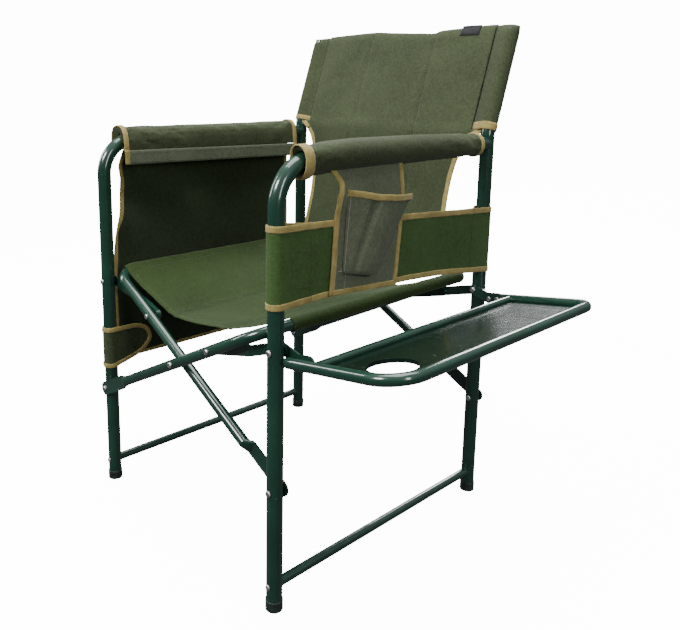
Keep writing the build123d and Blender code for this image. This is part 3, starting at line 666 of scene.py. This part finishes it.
def build_back():
    stitch_group["name"] = "back"
    reach = SLEEVE_SEAM

    def front(u, v):
        top = smooth_curve(BACK_TOP, (2 * u - 1) * reach)
        s = BACK_FOOT_S + v * (top - 2.0 - BACK_FOOT_S)
        x = (2 * u - 1) * back_half_width(s)
        return back_sheet_point(x, s, back_relief(x, s))

    def rear(u, v):
        x = reach - 2 * reach * u
        top = smooth_curve(BACK_TOP, x)
        s = v * (top - 2.0)
        near_top = min(1.0, (top - s) / 14.0)
        return back_point(x, s + 1.0, -2.2 * near_top - 1.2 * ripple(x, s, size=60, seed=14))

    face = grid("back_front", front, 100, 96, mat_canvas)
    behind = grid("back_rear", rear, 60, 30, mat_canvas)
    across = [reach * (2 * t - 1) for t in fractions(89)]
    ridge = [back_point(x, smooth_curve(BACK_TOP, x)) for x in across]
    top_roll = tape("back_top_fold", ridge, vec(0, 0, -1), 5.0, 2.6, seed=31, material=mat_canvas)
    parts = [face, behind, top_roll]
    for side, name in ((-1, "left"), (1, "right")):
        def ear(u, v, side=side):
            s = EAR_FOOT_S + (2.0 - EAR_FOOT_S) * v
            wide = smooth_curve(PANEL_HALF, BACK_BEND_Z + s)
            x = SLEEVE_SEAM - 1.0 + max(0.5, wide - SLEEVE_SEAM + 1.0) * u
            return back_sheet_point(side * x, s, 2.2)

        def edge_run(first, last, side=side):
            return [back_sheet_point(side * smooth_curve(PANEL_HALF, z), z - BACK_BEND_Z, 2.4)
                    for z in range(first, last, 4)]

        stitch_group["name"] = "ear_" + name
        patch = grid("back_ear_" + name, ear, 12, 8, mat_canvas)
        upper = tape("back_ear_binding_" + name, edge_run(686, 704), vec(-side, 0, -0.2), 9.0, 1.5,
                     seed=35 + side)
        stitches = make_stitches("ear_" + name)
        settle(name + "_frame", patch, upper, stitches)
        stitch_group["name"] = "back"
        parts.append(tape("back_binding_" + name, edge_run(452, 686), vec(-side, 0, -0.2), 9.0, 1.5,
                          seed=33 + side))
    for x in BACK_SEAMS:
        for shift in (-3.0, 3.0):
            line = [back_sheet_point(x + shift, s, back_relief(x + shift, s) + 0.7)
                    for s in range(int(BACK_FOOT_S) + 4, 192, 6)]
            seam(line, vec(0, -1, 0.2))
    for side in (-1, 1):
        line = [back_sheet_point(side * (reach - 2), s, 3.0) for s in range(2, 194, 6)]
        seam(line, vec(0, -1, 0.3))
    parts.append(make_stitches("back"))
    settle("left_frame", *parts)
    for piece in parts:
        fold_with_back(piece)
    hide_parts("back_cover", "back_panel")


def sleeve_ring(radius, reach):
    """Round a post and back to the seam beside it: how far towards the other post, how far forward."""
    tangent = math.acos(radius / reach)

    def flank(t, way):
        aside = reach * (1 - t) + radius * math.cos(tangent) * t
        return aside, way * (radius * math.sin(tangent) * t + 0.6)

    shares = [k / 7 for k in range(7)]
    turns = [tangent + (math.tau - 2 * tangent) * t for t in fractions(24)]
    ring = [flank(t, 1) for t in shares]
    ring += [(radius * math.cos(angle), radius * math.sin(angle)) for angle in turns]
    return ring + [flank(t, -1) for t in reversed(shares)]


def build_back_sleeves():
    """Sleeves of the back cover round the two posts."""
    ring = sleeve_ring(LEG_R + 1.0, LEG_X - SLEEVE_SEAM)
    for side, name, hem_width in ((-1, "left", 9.0), (1, "right", 13.0)):
        def point(u, v, side=side):
            a, b = ring[round(u * (len(ring) - 1))]
            x = side * (LEG_X - a)
            top = smooth_curve(BACK_TOP, x)
            s = 2.0 + v * (top - 4.0)
            squeeze = min(1.0, (top - s + 1.5) / 16.0) ** 0.5
            wave = 0.5 * ripple(a * 3, s, b * 3, size=40, seed=20 + side)
            return back_point(x, s, (b + (wave if b > 0 else -wave)) * squeeze)

        sleeve = grid("back_sleeve_" + name, point, len(ring) - 1, 40, mat_canvas)
        hem = [back_point(side * (LEG_X - a), 2.5, b) for a, b in ring]
        binding = tape("back_sleeve_hem_" + name, hem, vec(0, math.sin(BACK_RAKE), math.cos(BACK_RAKE)),
                       hem_width, 1.4, seed=40 + side)
        settle(name + "_frame", sleeve, binding)


def build_label():
    """Plain sewn tag at the top of the back."""
    def point(u, v):
        x = 140.0 + 41.0 * u
        s = 182.0 + 21.0 * v
        lift = back_relief(x, s) + 1.2 + 0.8 * math.sin(math.pi * v)
        return back_sheet_point(x, s, lift)

    tag = grid("label_plain", point, 18, 10, mat_label, thick=0.8)
    settle("left_frame", tag, slot="label")
    fold_with_back(tag)
    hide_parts("label_tag")


# ---- arm pads
ARM_BEND = 64.0


def arm_tube_z(y):
    """Centre of the arm tube, which bends down into the front leg."""
    ahead = max(0.0, -(LEG_Y - ARM_BEND) - y)
    return ARM_Z - ARM_BEND + math.sqrt(ARM_BEND ** 2 - min(ahead, ARM_BEND - 1) ** 2)


def padded_skin(name, rings, held, material):
    """Canvas skin over foam, from closed rings; a cloth simulation swells it between its held points."""
    bm = bmesh.new()
    verts = [[bm.verts.new(p * MM) for p in ring] for ring in rings]
    middle = rings[len(rings) // 2]
    cloth_faces(bm, verts, lengths([ring[0] for ring in rings]), lengths(middle + middle[:1]), False, True)
    bmesh.ops.recalc_face_normals(bm, faces=bm.faces)
    pad = new_object(name, bm, material)
    inflate(pad, held, pressure=3.0, spare=0.012, cap=1.3)
    smooth = pad.modifiers.new("subdivision", "SUBSURF")
    smooth.levels = 1
    smooth.render_levels = 1
    keep_modifiers(pad)
    return pad


def pad_stations(front, rear, lip, steps=76):
    """Along a pad: (y, 0 on the long outside to 1 at the tube's own surface inside an end)."""
    shares = ((1.5, 1.0), (1.0, 1.0), (0.8, 0.85), (0.45, 0.5), (0.12, 0.18), (0.0, 0.04))
    ends = [(lip * depth, share) for depth, share in shares]
    stations = [(front + y, share) for y, share in ends]
    stations += [(front + 3.0 + (rear - front - 6.0) * k / steps, 0.0) for k in range(1, steps)]
    return stations + [(rear - y, share) for y, share in reversed(ends)]


def inflate(obj, held, pressure, spare, cap, frames=20):
    """Blows cloth up against its held points and keeps the result."""
    start = [v.co.copy() for v in obj.data.vertices]
    group = obj.vertex_groups.new(name="held")
    group.add(held, 1.0, "REPLACE")
    cloth = obj.modifiers.new("cloth", "CLOTH")
    settings = cloth.settings
    settings.quality = 6
    settings.mass = 0.15
    settings.tension_stiffness = 12
    settings.compression_stiffness = 12
    settings.bending_stiffness = 0.35
    settings.shrink_min = -spare
    settings.use_pressure = True
    settings.uniform_pressure_force = pressure
    settings.effector_weights.gravity = 0.0
    settings.vertex_group_mass = "held"
    cloth.collision_settings.use_collision = False
    cloth.point_cache.frame_start = 1
    cloth.point_cache.frame_end = frames
    scene = bpy.context.scene
    for number in range(1, frames + 1):
        scene.frame_set(number)
    depsgraph = bpy.context.evaluated_depsgraph_get()
    shaped = obj.evaluated_get(depsgraph).to_mesh()
    moved = [v.co.copy() for v in shaped.vertices]
    obj.evaluated_get(depsgraph).to_mesh_clear()
    obj.modifiers.clear()
    scene.frame_set(1)
    for vertex, first, last in zip(obj.data.vertices, start, moved):
        step = last - first
        limit = cap * MM
        if step.length > limit:
            step = step.normalized() * (limit * (1 + 0.25 * math.tanh((step.length - limit) / limit)))
        vertex.co = first + step
    obj.vertex_groups.clear()


def ring_points(centre_x, y, centre_z, radius, count=60):
    """Round the arm in its cross plane; the radius is a number or a function of the angle."""
    points = []
    for k in range(count):
        angle = math.tau * k / count
        own = radius(angle) if callable(radius) else radius
        points.append(vec(centre_x + own * math.cos(angle), y, centre_z + own * math.sin(angle)))
    return points


RIGHT_PAD = (-214.0, 214.0)  # front and rear ends
LEFT_PAD = (-222.0, 213.0)
PAD_R_FRONT, PAD_R_REAR = 24.5, 20.5
FRONT_SINK = 4.0             # of the right roll's mouth, round the bending tube
COVER_SINK = 6.5
FLAP_TOP = 661.0
FLAP_DEPTH = 27.0
FLAP_OUT = 26.6              # its distance from the arm's centre plane
TUBE_SKIN = LEG_R + 1.6
PAD_SLACK = 1.0              # the simulation swells the skin by about this much


def front_squash(angle, behind):
    """The roll's front end is pinched flat across, closest on its inner side."""
    across = math.cos(angle) ** 2
    return 1.0 - at_front(behind) * across * (0.4 if math.cos(angle) < 0 else 0.22)


def at_front(behind):
    return bell(behind, 34.0)


def build_right_arm():
    stitch_group["name"] = "right"
    front, rear = RIGHT_PAD
    seam_angle = math.radians(262)
    around = 72
    rings, held = [], []
    for y, share in pad_stations(front, rear, 8.0):
        t = (y - front) / (rear - front)
        radius = PAD_R_FRONT + (PAD_R_REAR - PAD_R_FRONT) * smooth_curve([(0, 0), (0.55, 0.25), (1, 1)], t)
        radius -= 0.9 * bell(y - front - 26.0, 2.5) + 0.4 * ripple(y, 0, size=60, seed=50)
        ring = []
        for k in range(around):
            angle = math.tau * k / around
            gap = abs((angle - seam_angle + math.pi) % math.tau - math.pi)
            own = radius * front_squash(angle, y - front)
            own -= 0.8 * bell(gap, 0.10) + (0.0 if share else PAD_SLACK)
            own = own * (1 - share) + TUBE_SKIN * share
            z = ARM_Z + 1.0 - 0.5 * t - FRONT_SINK * at_front(y - front)
            z = z * (1 - share) + arm_tube_z(y) * share
            if share or gap < math.tau / around * 0.6:
                held.append(len(rings) * around + k)
            ring.append(vec(LEG_X + own * math.cos(angle), y, z + own * math.sin(angle)))
        rings.append(ring)
    pad = padded_skin("right_arm_roll", rings, held, mat_canvas)
    mouth = ring_points(LEG_X, front, ARM_Z + 1.0 - FRONT_SINK,
                        lambda angle: PAD_R_FRONT * front_squash(angle, 4.0) - 0.4, around)
    wide = tape("right_arm_front_ring", mouth, vec(0, 1, 0), 16.0, 1.2, closed=True, seed=51)
    thin = tape("right_arm_rear_ring", ring_points(LEG_X, rear, ARM_Z + 0.5, PAD_R_REAR - 0.4),
                vec(0, -1, 0), 8.0, 1.2, closed=True, seed=52)
    settle("right_frame", pad, wide, thin)
    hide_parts("right_arm_pad")


# offsets from the arm's centre plane, and heights: over the arm from its outer edge to the flap
SADDLE_OUTSIDE = [(-21, 662), (-23.5, 669), (-24, 677), (-22.5, 690), (-18, 698.5), (-11, 704), (0, 706),
                  (11, 704.5), (18, 700), (23, 692), (25.6, 680), (26.2, 670), (26.4, 658)]


def saddle_ring(shrink):
    """Closed section of the left cover: its outside, then back round the tube."""
    outside = [vec(x * (1 - shrink / 25.0), 0, 681.0 + (z - 681.0) * (1 - shrink / 25.0))
               for x, z in SADDLE_OUTSIDE]
    outside = resampled(outside, 2.6)
    turns = [math.radians(-28 + 236 * t) for t in fractions(24)]
    inside = [vec(TUBE_SKIN * math.cos(angle), 0, ARM_Z + TUBE_SKIN * math.sin(angle)) for angle in turns]
    return outside, inside


def lowered(points, t):
    """The cover's inner edge hangs lower towards its rear end."""
    moved = []
    for p in points:
        sink = COVER_SINK * t * (681.0 - p.z) / 23.0 if p.x > 0 and p.z < 681.0 else 0.0
        moved.append(vec(p.x, 0, p.z - sink))
    return moved


def build_left_arm():
    stitch_group["name"] = "left"
    front, rear = LEFT_PAD
    outside, inside = saddle_ring(PAD_SLACK)
    around = len(outside) + len(inside)
    rings, held = [], []
    for y, share in pad_stations(front, rear, 8.0):
        tube = vec(0, 0, arm_tube_z(y))
        ring = []
        for k, p in enumerate(lowered(outside, (y - front) / (rear - front))):
            depth = (tube - p).length - TUBE_SKIN - 0.4
            wave = 0.5 * ripple(y, k * 3.0, size=45, seed=63)
            q = p + (tube - p).normalized() * (depth * share - (wave if not share else 0.0))
            if share or k in (0, len(outside) - 1):
                held.append(len(rings) * around + k)
            ring.append(vec(-LEG_X + q.x, y, q.z))
        held += range(len(rings) * around + len(outside), (len(rings) + 1) * around)
        ring += [vec(-LEG_X + p.x, y, p.z + tube.z - ARM_Z) for p in inside]
        rings.append(ring)
    pad = padded_skin("left_arm_cover_pad", rings, held, mat_canvas)

    def hem(u, v):
        y = front + 1.0 + (rear - front - 2.0) * u
        z = FLAP_TOP - COVER_SINK * u - FLAP_DEPTH * v
        flare = smooth_curve([(0, 0.0), (0.3, 1.4), (1, 1.0)], v)
        x = -LEG_X + FLAP_OUT + 0.5 * flare + 0.6 * abs(ripple(y, z, size=45, seed=61)) * v
        return vec(x, y, z)

    stitch_group["name"] = "flap"
    # the flap's paler canvas is painted light: it hangs on the arm's shaded inner side
    flap = grid("left_arm_flap", hem, 90, 10, mat_canvas_worn_and_painted_light)
    for v in (0.2, 0.86):
        seam([hem(u, v) + vec(0.8, 0, 0) for u in fractions(60)], vec(1, 0, 0))
    rim = [vec(x - 0.4 * x / 25.0, 0, z) for x, z in SADDLE_OUTSIDE]
    flap_bands = []
    for u, into, name in ((0.0, 1, "front"), (1.0, -1, "rear")):
        flap_bands.append(tape("left_flap_%s_binding" % name, [hem(u, v) for v in fractions(8)],
                               vec(0, into, 0), 9.0, 1.2, seed=64 + into))
    flap_bands.append(make_stitches("flap"))
    stitch_group["name"] = "left"
    bands = []
    for y, into, name in ((front, 1, "front"), (rear, -1, "rear")):
        line = [vec(-LEG_X + p.x, y, p.z) for p in lowered(rim, 0.0 if into > 0 else 1.0)]
        bands.append(tape("left_arm_%s_band" % name, line, vec(0, into, 0), 9.0, 1.2, seed=62 + into))
    settle("left_frame", pad, flap, *bands, *flap_bands)
    for piece in [flap] + flap_bands:
        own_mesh(piece)
    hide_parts("left_arm_cover")


# ---- left side
LEFT_EDGE = [(247, -238), (318, -241), (400, -240), (441, -236), (505, -231), (553, -223), (602, -216),
             (632, -220), (660, -212)]
LEFT_REAR_Y = 208.0


def left_panel_point(u, v):
    foot, top = LEFT_EDGE[0][0], LEFT_EDGE[-1][0]
    z = foot + (top - foot) * v
    front = smooth_curve(LEFT_EDGE, z)
    y = front + (LEFT_REAR_Y - front) * u
    pull = bell(u, 0.35) * math.sin(math.pi * min(1.0, v * 1.2))
    x = -LEG_X + 2.0 * ripple(y, z, size=110, seed=71) + ripple(y + z, z - y, size=40, seed=72) * pull
    held = bell(v - 0.68, 0.26) * bell(u - 0.08, 0.34)
    x += (7.5 * math.sin((y + 0.9 * z) / 30.0 + 0.8 * math.sin(z / 47.0)) - 3.0) * held
    x += 2.2 * math.sin((y - 1.6 * z) / 21.0) * held * bell(v - 0.9, 0.12)
    return vec(x, y, z)


def build_left_side():
    stitch_group["name"] = "left"
    # the darker canvas here is painted shade: this face lies in the shadow of the arm cover
    panel = grid("left_side_cloth", left_panel_point, 84, 84, mat_canvas_painted_shade)
    shares = fractions(60)
    front = tape("left_side_front_binding", [left_panel_point(0, v) for v in shares], vec(0, 1, 0),
                 8.0, 1.3, seed=73)
    foot = tape("left_side_foot_binding", [left_panel_point(u, 0) for u in shares], vec(0, 0, 1),
                7.0, 1.3, seed=74)
    rear = tape("left_side_rear_binding", [left_panel_point(1, v) for v in shares], vec(0, -1, 0),
                8.0, 1.3, seed=75)
    settle("left_frame", panel, front, foot, rear)
    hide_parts("left_side_panel")


TAB_FOOT, TAB_TOP, TAB_END = 238.0, 318.0, -168.0
WRAP_R = LEG_R + 1.2


def tab_plan(t):
    """Plan of the tab: from the leg's outer side round its front to the seat's side, then back."""
    arc = math.pi * WRAP_R
    straight = TAB_END + LEG_Y
    s = t * (arc + straight)
    if s < arc:
        angle = math.pi + s / WRAP_R
        return vec(-LEG_X + WRAP_R * math.cos(angle), -LEG_Y + WRAP_R * math.sin(angle), 0), 0.0
    ahead = s - arc
    return vec(-LEG_X + WRAP_R - 0.02 * ahead, -LEG_Y + ahead, 0), ahead / straight


def tab_outline(ahead):
    """The tab's foot and top where it has gone a share of the way to its rounded end."""
    t = max(0.0, 2 * ahead - 1)
    rise = 1 - math.sqrt(max(0.0, 1 - t * t))
    return TAB_FOOT + 22.0 * ahead + rise * 22.0, TAB_TOP - 2.0 * ahead - rise * 30.0


def build_left_tab():
    stitch_group["name"] = "left"

    def point(u, v):
        p, ahead = tab_plan(u)
        foot, top = tab_outline(ahead)
        p.z = foot + (top - foot) * v
        p.x += 0.8 * ripple(p.y, p.z, size=30, seed=81) * ahead
        return p

    tab = grid("left_leg_tab_cloth", point, 64, 20, mat_canvas)

    def rear_loop(u, v):
        angle = math.pi - math.pi * u
        x = -LEG_X + WRAP_R * math.cos(angle)
        y = -LEG_Y + WRAP_R * math.sin(angle)
        return vec(x, y, TAB_FOOT + (TAB_TOP - TAB_FOOT) * v)

    loop = grid("left_leg_tab_rear", rear_loop, 20, 12, mat_canvas)
    shares = fractions(60)
    outline = [point(u, 0) for u in shares] + [point(1, v) for v in fractions(8)[1:-1]]
    outline += [point(1 - u, 1) for u in shares]
    centre = vec(-LEG_X + WRAP_R, -200.0, (TAB_FOOT + TAB_TOP) / 2)

    def into(p, t):
        if t < 0.4:
            return vec(0, -0.15, 1)
        if t > 0.6:
            return vec(0, -0.15, -1)
        return (centre - p).normalized()

    edge = tape("left_leg_tab_binding", outline, into, 8.0, 1.3, seed=82)
    rings = []
    for z, way, name in ((TAB_FOOT, 1, "foot"), (TAB_TOP, -1, "top")):
        half = [rear_loop(u, 0) + vec(0, 0, z - TAB_FOOT) for u in fractions(20)]
        rings.append(tape("left_leg_tab_loop_" + name, half, vec(0, 0, way), 8.0, 1.3, seed=83 + way))
    settle("left_frame", tab, loop, edge, *rings)
    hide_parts("left_leg_tab")


# ---- right side
BAND_TOP = [(-270, 593), (-160, 590), (23, 579), (254, 565), (270, 564)]
BAND_FOOT = [(-270, 474), (-160, 476), (-4, 470), (110, 463), (200, 452), (270, 444)]
BAND_JOIN = 196.0


def band_plan():
    """Plan of the band: a loop round the front leg, the long outside, a loop round the rear leg."""
    def tail(end, t):
        """From under the outside at the join (t 0) to the leg's seat side (t 1)."""
        x = LEG_X + WRAP_R - 2.2 - (2 * WRAP_R - 2.2) * eased(t)
        return vec(x, end * (BAND_JOIN + (LEG_Y - BAND_JOIN) * t), 0)

    def round_leg(end, angle):
        return vec(LEG_X + WRAP_R * math.cos(angle), end * LEG_Y + WRAP_R * math.sin(angle), 0)

    points = [tail(-1, t) for t in fractions(8)]
    points += [round_leg(-1, math.pi * (1 + t)) for t in fractions(16)[1:]]
    points += [vec(LEG_X + WRAP_R, LEG_Y * (2 * t - 1), 0) for t in fractions(80)[1:-1]]
    points += [round_leg(1, math.pi * t) for t in fractions(16)]
    points += [tail(1, 1 - t) for t in fractions(8)[1:]]
    return resampled(points, 5.0)


def build_right_band():
    stitch_group["name"] = "right"
    plan = band_plan()

    def at(k, v):
        p = plan[k].copy()
        foot, top = smooth_curve(BAND_FOOT, p.y), smooth_curve(BAND_TOP, p.y)
        p.z = foot + (top - foot) * v
        free = max(0.0, 1 - (abs(p.y) / 235.0) ** 6)
        if p.x > LEG_X + 10:
            wave = 1.2 * ripple(p.y, p.z, size=60, seed=91) + 0.5 * ripple(p.y, p.z, size=24, seed=92)
            p.x += free * (wave - 1.0)
        return p

    def point(u, v):
        return at(round(u * (len(plan) - 1)), v)

    band = grid("right_band_cloth", point, len(plan) - 1, 34, mat_canvas_band)
    upper = tape("right_band_top_binding", [at(k, 1) for k in range(len(plan))], vec(0, 0, -1),
                 9.0, 1.4, seed=93)
    lower = tape("right_band_foot_binding", [at(k, 0) for k in range(len(plan))], vec(0, 0, 1),
                 9.0, 1.4, seed=94)
    outside = LEG_X + WRAP_R + 0.8
    box = [(-236, 556), (-188, 552), (-188, 500), (-236, 503), (-236, 556)]
    seam([vec(outside, y, z) for y, z in box], vec(1, 0, 0), pitch=3.0)
    for y, foot, top in ((-BAND_JOIN - 2, 476, 578), (BAND_JOIN + 2, 462, 562)):
        seam([vec(outside, y, z) for z in range(foot, top, 5)], vec(1, 0, 0))
    settle("right_frame", band, upper, lower)
    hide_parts("right_side_band")


PANEL_FRONT = [(474, -163), (520, -159), (580, -154), (620, -150), (640, -143), (652, -150), (664, -158)]
PANEL_REAR = [(474, -12), (501, -8), (620, 1), (664, -1)]
PANEL_FOOT = 478.0
PANEL_X = LEG_X + WRAP_R + 2.4


def hanger_point(u, v, out=0.0):
    """Pocket panel: hangs from the arm roll, outside the band."""
    foot = PANEL_FOOT - 9.0 * u
    z = foot + (PANEL_FRONT[-1][0] - foot) * v
    front, rear = smooth_curve(PANEL_FRONT, z), smooth_curve(PANEL_REAR, z)
    y = front + (rear - front) * u
    x = PANEL_X + ripple(y, z, size=55, seed=101) * math.sin(math.pi * v)
    near_roll = max(0.0, (z - 600.0) / 64.0)
    x += 2.5 * math.sin(near_roll * math.pi * 1.5) * bell(u, 0.25) - 5.0 * near_roll ** 2
    return vec(x + out, y, z)


def build_right_hanger():
    stitch_group["name"] = "right"
    panel = grid("right_pocket_panel", hanger_point, 44, 50, mat_canvas_worn_and_painted_light)
    front = tape("right_panel_front_binding", [hanger_point(0, v) for v in fractions(50)], vec(0, 1, 0),
                 9.0, 1.4, seed=102)
    rear = tape("right_panel_rear_binding", [hanger_point(1, v) for v in fractions(50)], vec(0, -1, 0),
                8.0, 1.4, seed=103)
    foot = tape("right_panel_foot_binding", [hanger_point(u, 0) for u in fractions(30)], vec(0, 0, 1),
                8.0, 1.4, seed=104)
    corner = hanger_point(0.2, 0.19, 0.8)
    seam([hanger_point(0.08, 0.19, 0.8), corner], vec(1, 0, 0), pitch=2.6, kind=2)
    seam([corner, hanger_point(0.2, 0.03, 0.8)], vec(1, 0, 0), pitch=2.6, kind=2)
    settle("right_frame", panel, front, rear, foot)
    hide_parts("right_side_panel")


# how far out, y and z of the pocket's front seam, its corner and its rear seam
POCKET_MOUTH = [vec(0.0, -129.0, 632.0), vec(22.0, -45.0, 619.0), vec(0.0, 20.0, 613.0)]
POCKET_FOOT = [vec(0.0, -138.0, 508.0), vec(12.0, -83.0, 496.0), vec(0.0, -62.0, 498.0)]
POCKET_CORNER = 0.62


def pocket_point(u, v):
    """The pocket's skin: u runs along its front face, round the corner and back along its gusset."""
    first = u < POCKET_CORNER
    t = u / POCKET_CORNER if first else (u - POCKET_CORNER) / (1 - POCKET_CORNER)
    k = 0 if first else 1
    foot = POCKET_FOOT[k].lerp(POCKET_FOOT[k + 1], t)
    mouth = POCKET_MOUTH[k].lerp(POCKET_MOUTH[k + 1], t)
    _, y, z = foot.lerp(mouth, v)
    out = POCKET_FOOT[1].lerp(POCKET_MOUTH[1], v).x * (1 - (1 - t) ** 1.7 if first else 1 - t ** 1.25)
    out -= (0.8 + 1.6 * v) * bell(u - POCKET_CORNER, 0.035)
    belly = math.sin(math.pi * min(1.0, v * 1.15)) if v < 0.87 else 0.0
    out += 1.6 * belly * math.sin(math.pi * u)
    fold = 0.35 + 0.25 * v
    if first:
        shallow = 1.0 - 0.7 * max(0.0, (v - 0.8) / 0.2) ** 2
        out -= (2.5 + 5.5 * v) * shallow * bell(t - fold, 0.075)
        z -= 1.5 * v * bell(t - fold, 0.2)
    out += 0.8 * ripple(y, v * 130, size=30, seed=111) * clamp(out / 8.0)
    if v < 0.08:
        out *= 0.35 + 0.65 * math.sqrt(max(0.0, 1 - (1 - v / 0.08) ** 2))
    return vec(PANEL_X + 1.2 + max(0.3, out), y, z)


def build_pocket():
    stitch_group["name"] = "right"
    skin = grid("pocket_cloth", pocket_point, 100, 44, mat_canvas_worn_and_painted_light)
    mouth = tape("pocket_binding", [pocket_point(u, 1) for u in fractions(80)], vec(0, 0, -1),
                 9.0, 1.4, seed=112)

    def bottom(u, v):
        p = pocket_point(u, 0)
        wall = vec(PANEL_X + 1.0, p.y, p.z + 0.8)
        return p.lerp(wall, v)

    base = grid("pocket_base", bottom, 60, 5, mat_canvas_worn_and_painted_light)
    line = [pocket_point(0.03, v / 30) + vec(0.9, 0, 0) for v in range(1, 29)]
    seam(line, vec(1, -0.2, 0), pitch=3.0, kind=2)
    line = [pocket_point(POCKET_CORNER + 0.02, v / 30) + vec(0.7, 0.4, 0) for v in range(4, 28)]
    seam(line, vec(0.7, 0.6, 0), pitch=3.4)
    settle("right_frame", skin, mouth, base)
    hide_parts("bottle_pocket")


# ---- stage, light and camera
def plain_material(name, shade, rough):
    t = Tree(name)
    cloud = t.noise(1.5, 2.0, 0.5)
    t.set(Base_Color=t.ramp(cloud, [(0.3, [0.97 * c for c in shade]), (0.7, shade)]), Roughness=rough,
          Specular_IOR_Level=0.2)
    return t


FLOOR_R, SWEEP_R, WALL_TOP = 2.6, 2.4, 5.0
FLOOR_DROP = 0.0005              # the floor lies just under the feet


def build_stage():
    """A pale floor that curves up into a plain wall all round, in metres."""
    around = 96
    profile = [(FLOOR_R * k / 20, 0.0) for k in range(1, 21)]
    for k in range(1, 17):
        angle = math.radians(90 * k / 16)
        profile.append((FLOOR_R + SWEEP_R * math.sin(angle), SWEEP_R - SWEEP_R * math.cos(angle)))
    profile.append((FLOOR_R + SWEEP_R, WALL_TOP))
    bm = bmesh.new()
    centre = bm.verts.new((0, 0, -FLOOR_DROP))
    turns = [math.tau * k / around for k in range(around)]
    rings = [[bm.verts.new((r * math.cos(turn), r * math.sin(turn), z - FLOOR_DROP)) for turn in turns]
             for r, z in profile]
    for k in range(around):
        m = (k + 1) % around
        bm.faces.new((centre, rings[0][k], rings[0][m]))
        for first, second in zip(rings, rings[1:]):
            bm.faces.new((first[k], second[k], second[m], first[m]))
    paper = plain_material("floor_pale", (0.86, 0.86, 0.86), 0.85)
    paper.set(Emission_Color=(1.0, 1.0, 1.0, 1.0), Emission_Strength=13.0)     # a lit studio sweep
    floor = new_object("floor", bm, paper.material)
    floor.visible_glossy = False     # the gloss paint shows the lamps, not the whole white room
    floor.visible_diffuse = False    # and the sweep's brightness doesn't light the cloth


# name, place in metres, width and height, watts
LAMPS = [("key", (-0.2, -3.0, 2.7), (1.2, 1.0), 135), ("side", (-2.6, -1.6, 1.8), (0.35, 1.8), 40),
         ("edge", (2.9, -0.9, 1.5), (0.5, 1.5), 30), ("rear", (-1.2, 3.0, 2.2), (1.4, 1.2), 90),
         ("top", (0.0, 0.2, 3.4), (2.4, 2.4), 135)]
LAMP_TARGET = Vector((0, 0, 0.5))


def area_light(name, place, size, power):
    data = bpy.data.lights.new(name, "AREA")
    data.shape = "RECTANGLE"
    data.size, data.size_y = size
    data.energy = power
    lamp = bpy.data.objects.new(name, data)
    lamp.location = place
    lamp.rotation_euler = (LAMP_TARGET - Vector(place)).to_track_quat("-Z", "Y").to_euler()
    bpy.context.scene.collection.objects.link(lamp)


def build_lights():
    """A sky that brightens upwards, and the lamps."""
    world = bpy.data.worlds.new("studio")
    world.use_nodes = True
    nodes, links = world.node_tree.nodes, world.node_tree.links
    direction = nodes.new("ShaderNodeTexCoord")
    height = nodes.new("ShaderNodeSeparateXYZ")
    shade = nodes.new("ShaderNodeValToRGB")
    shade.color_ramp.elements[0].color = (0.10, 0.105, 0.11, 1.0)
    shade.color_ramp.elements[1].position = 0.8
    shade.color_ramp.elements[1].color = (0.62, 0.64, 0.66, 1.0)
    links.new(direction.outputs["Generated"], height.inputs["Vector"])
    links.new(height.outputs["Z"], shade.inputs["Fac"])
    links.new(shade.outputs["Color"], nodes["Background"].inputs["Color"])
    bpy.context.scene.world = world
    for lamp in LAMPS:
        area_light(*lamp)


CAMERA_AZ, CAMERA_EL, CAMERA_ROLL = math.radians(48.95), math.radians(10.44), math.radians(0.29)
CAMERA_PLACE = (0.9662, -0.8850, 0.7809)
LENS, LENS_SHIFT = 37.75, (0.0973, -0.1438)


def build_camera():
    data = bpy.data.cameras.new("camera")
    data.sensor_width = 36.0
    data.lens = LENS
    data.shift_x, data.shift_y = LENS_SHIFT
    camera = bpy.data.objects.new("camera", data)
    level = math.cos(CAMERA_EL)
    back = Vector((math.sin(CAMERA_AZ) * level, -math.cos(CAMERA_AZ) * level, math.sin(CAMERA_EL)))
    turn = back.to_track_quat("Z", "Y").to_matrix() @ Matrix.Rotation(CAMERA_ROLL, 3, "Z")
    camera.matrix_world = Matrix.Translation(CAMERA_PLACE) @ turn.to_4x4()
    bpy.context.scene.collection.objects.link(camera)
    bpy.context.scene.camera = camera


build_camera()
build_lights()
build_stage()
build_seat()
build_back()
build_back_sleeves()
build_label()
build_left_arm()
build_left_side()
build_left_tab()
settle("left_frame", make_stitches("left"))
build_right_arm()
build_right_band()
build_right_hanger()
build_pocket()
settle("right_frame", make_stitches("right"))
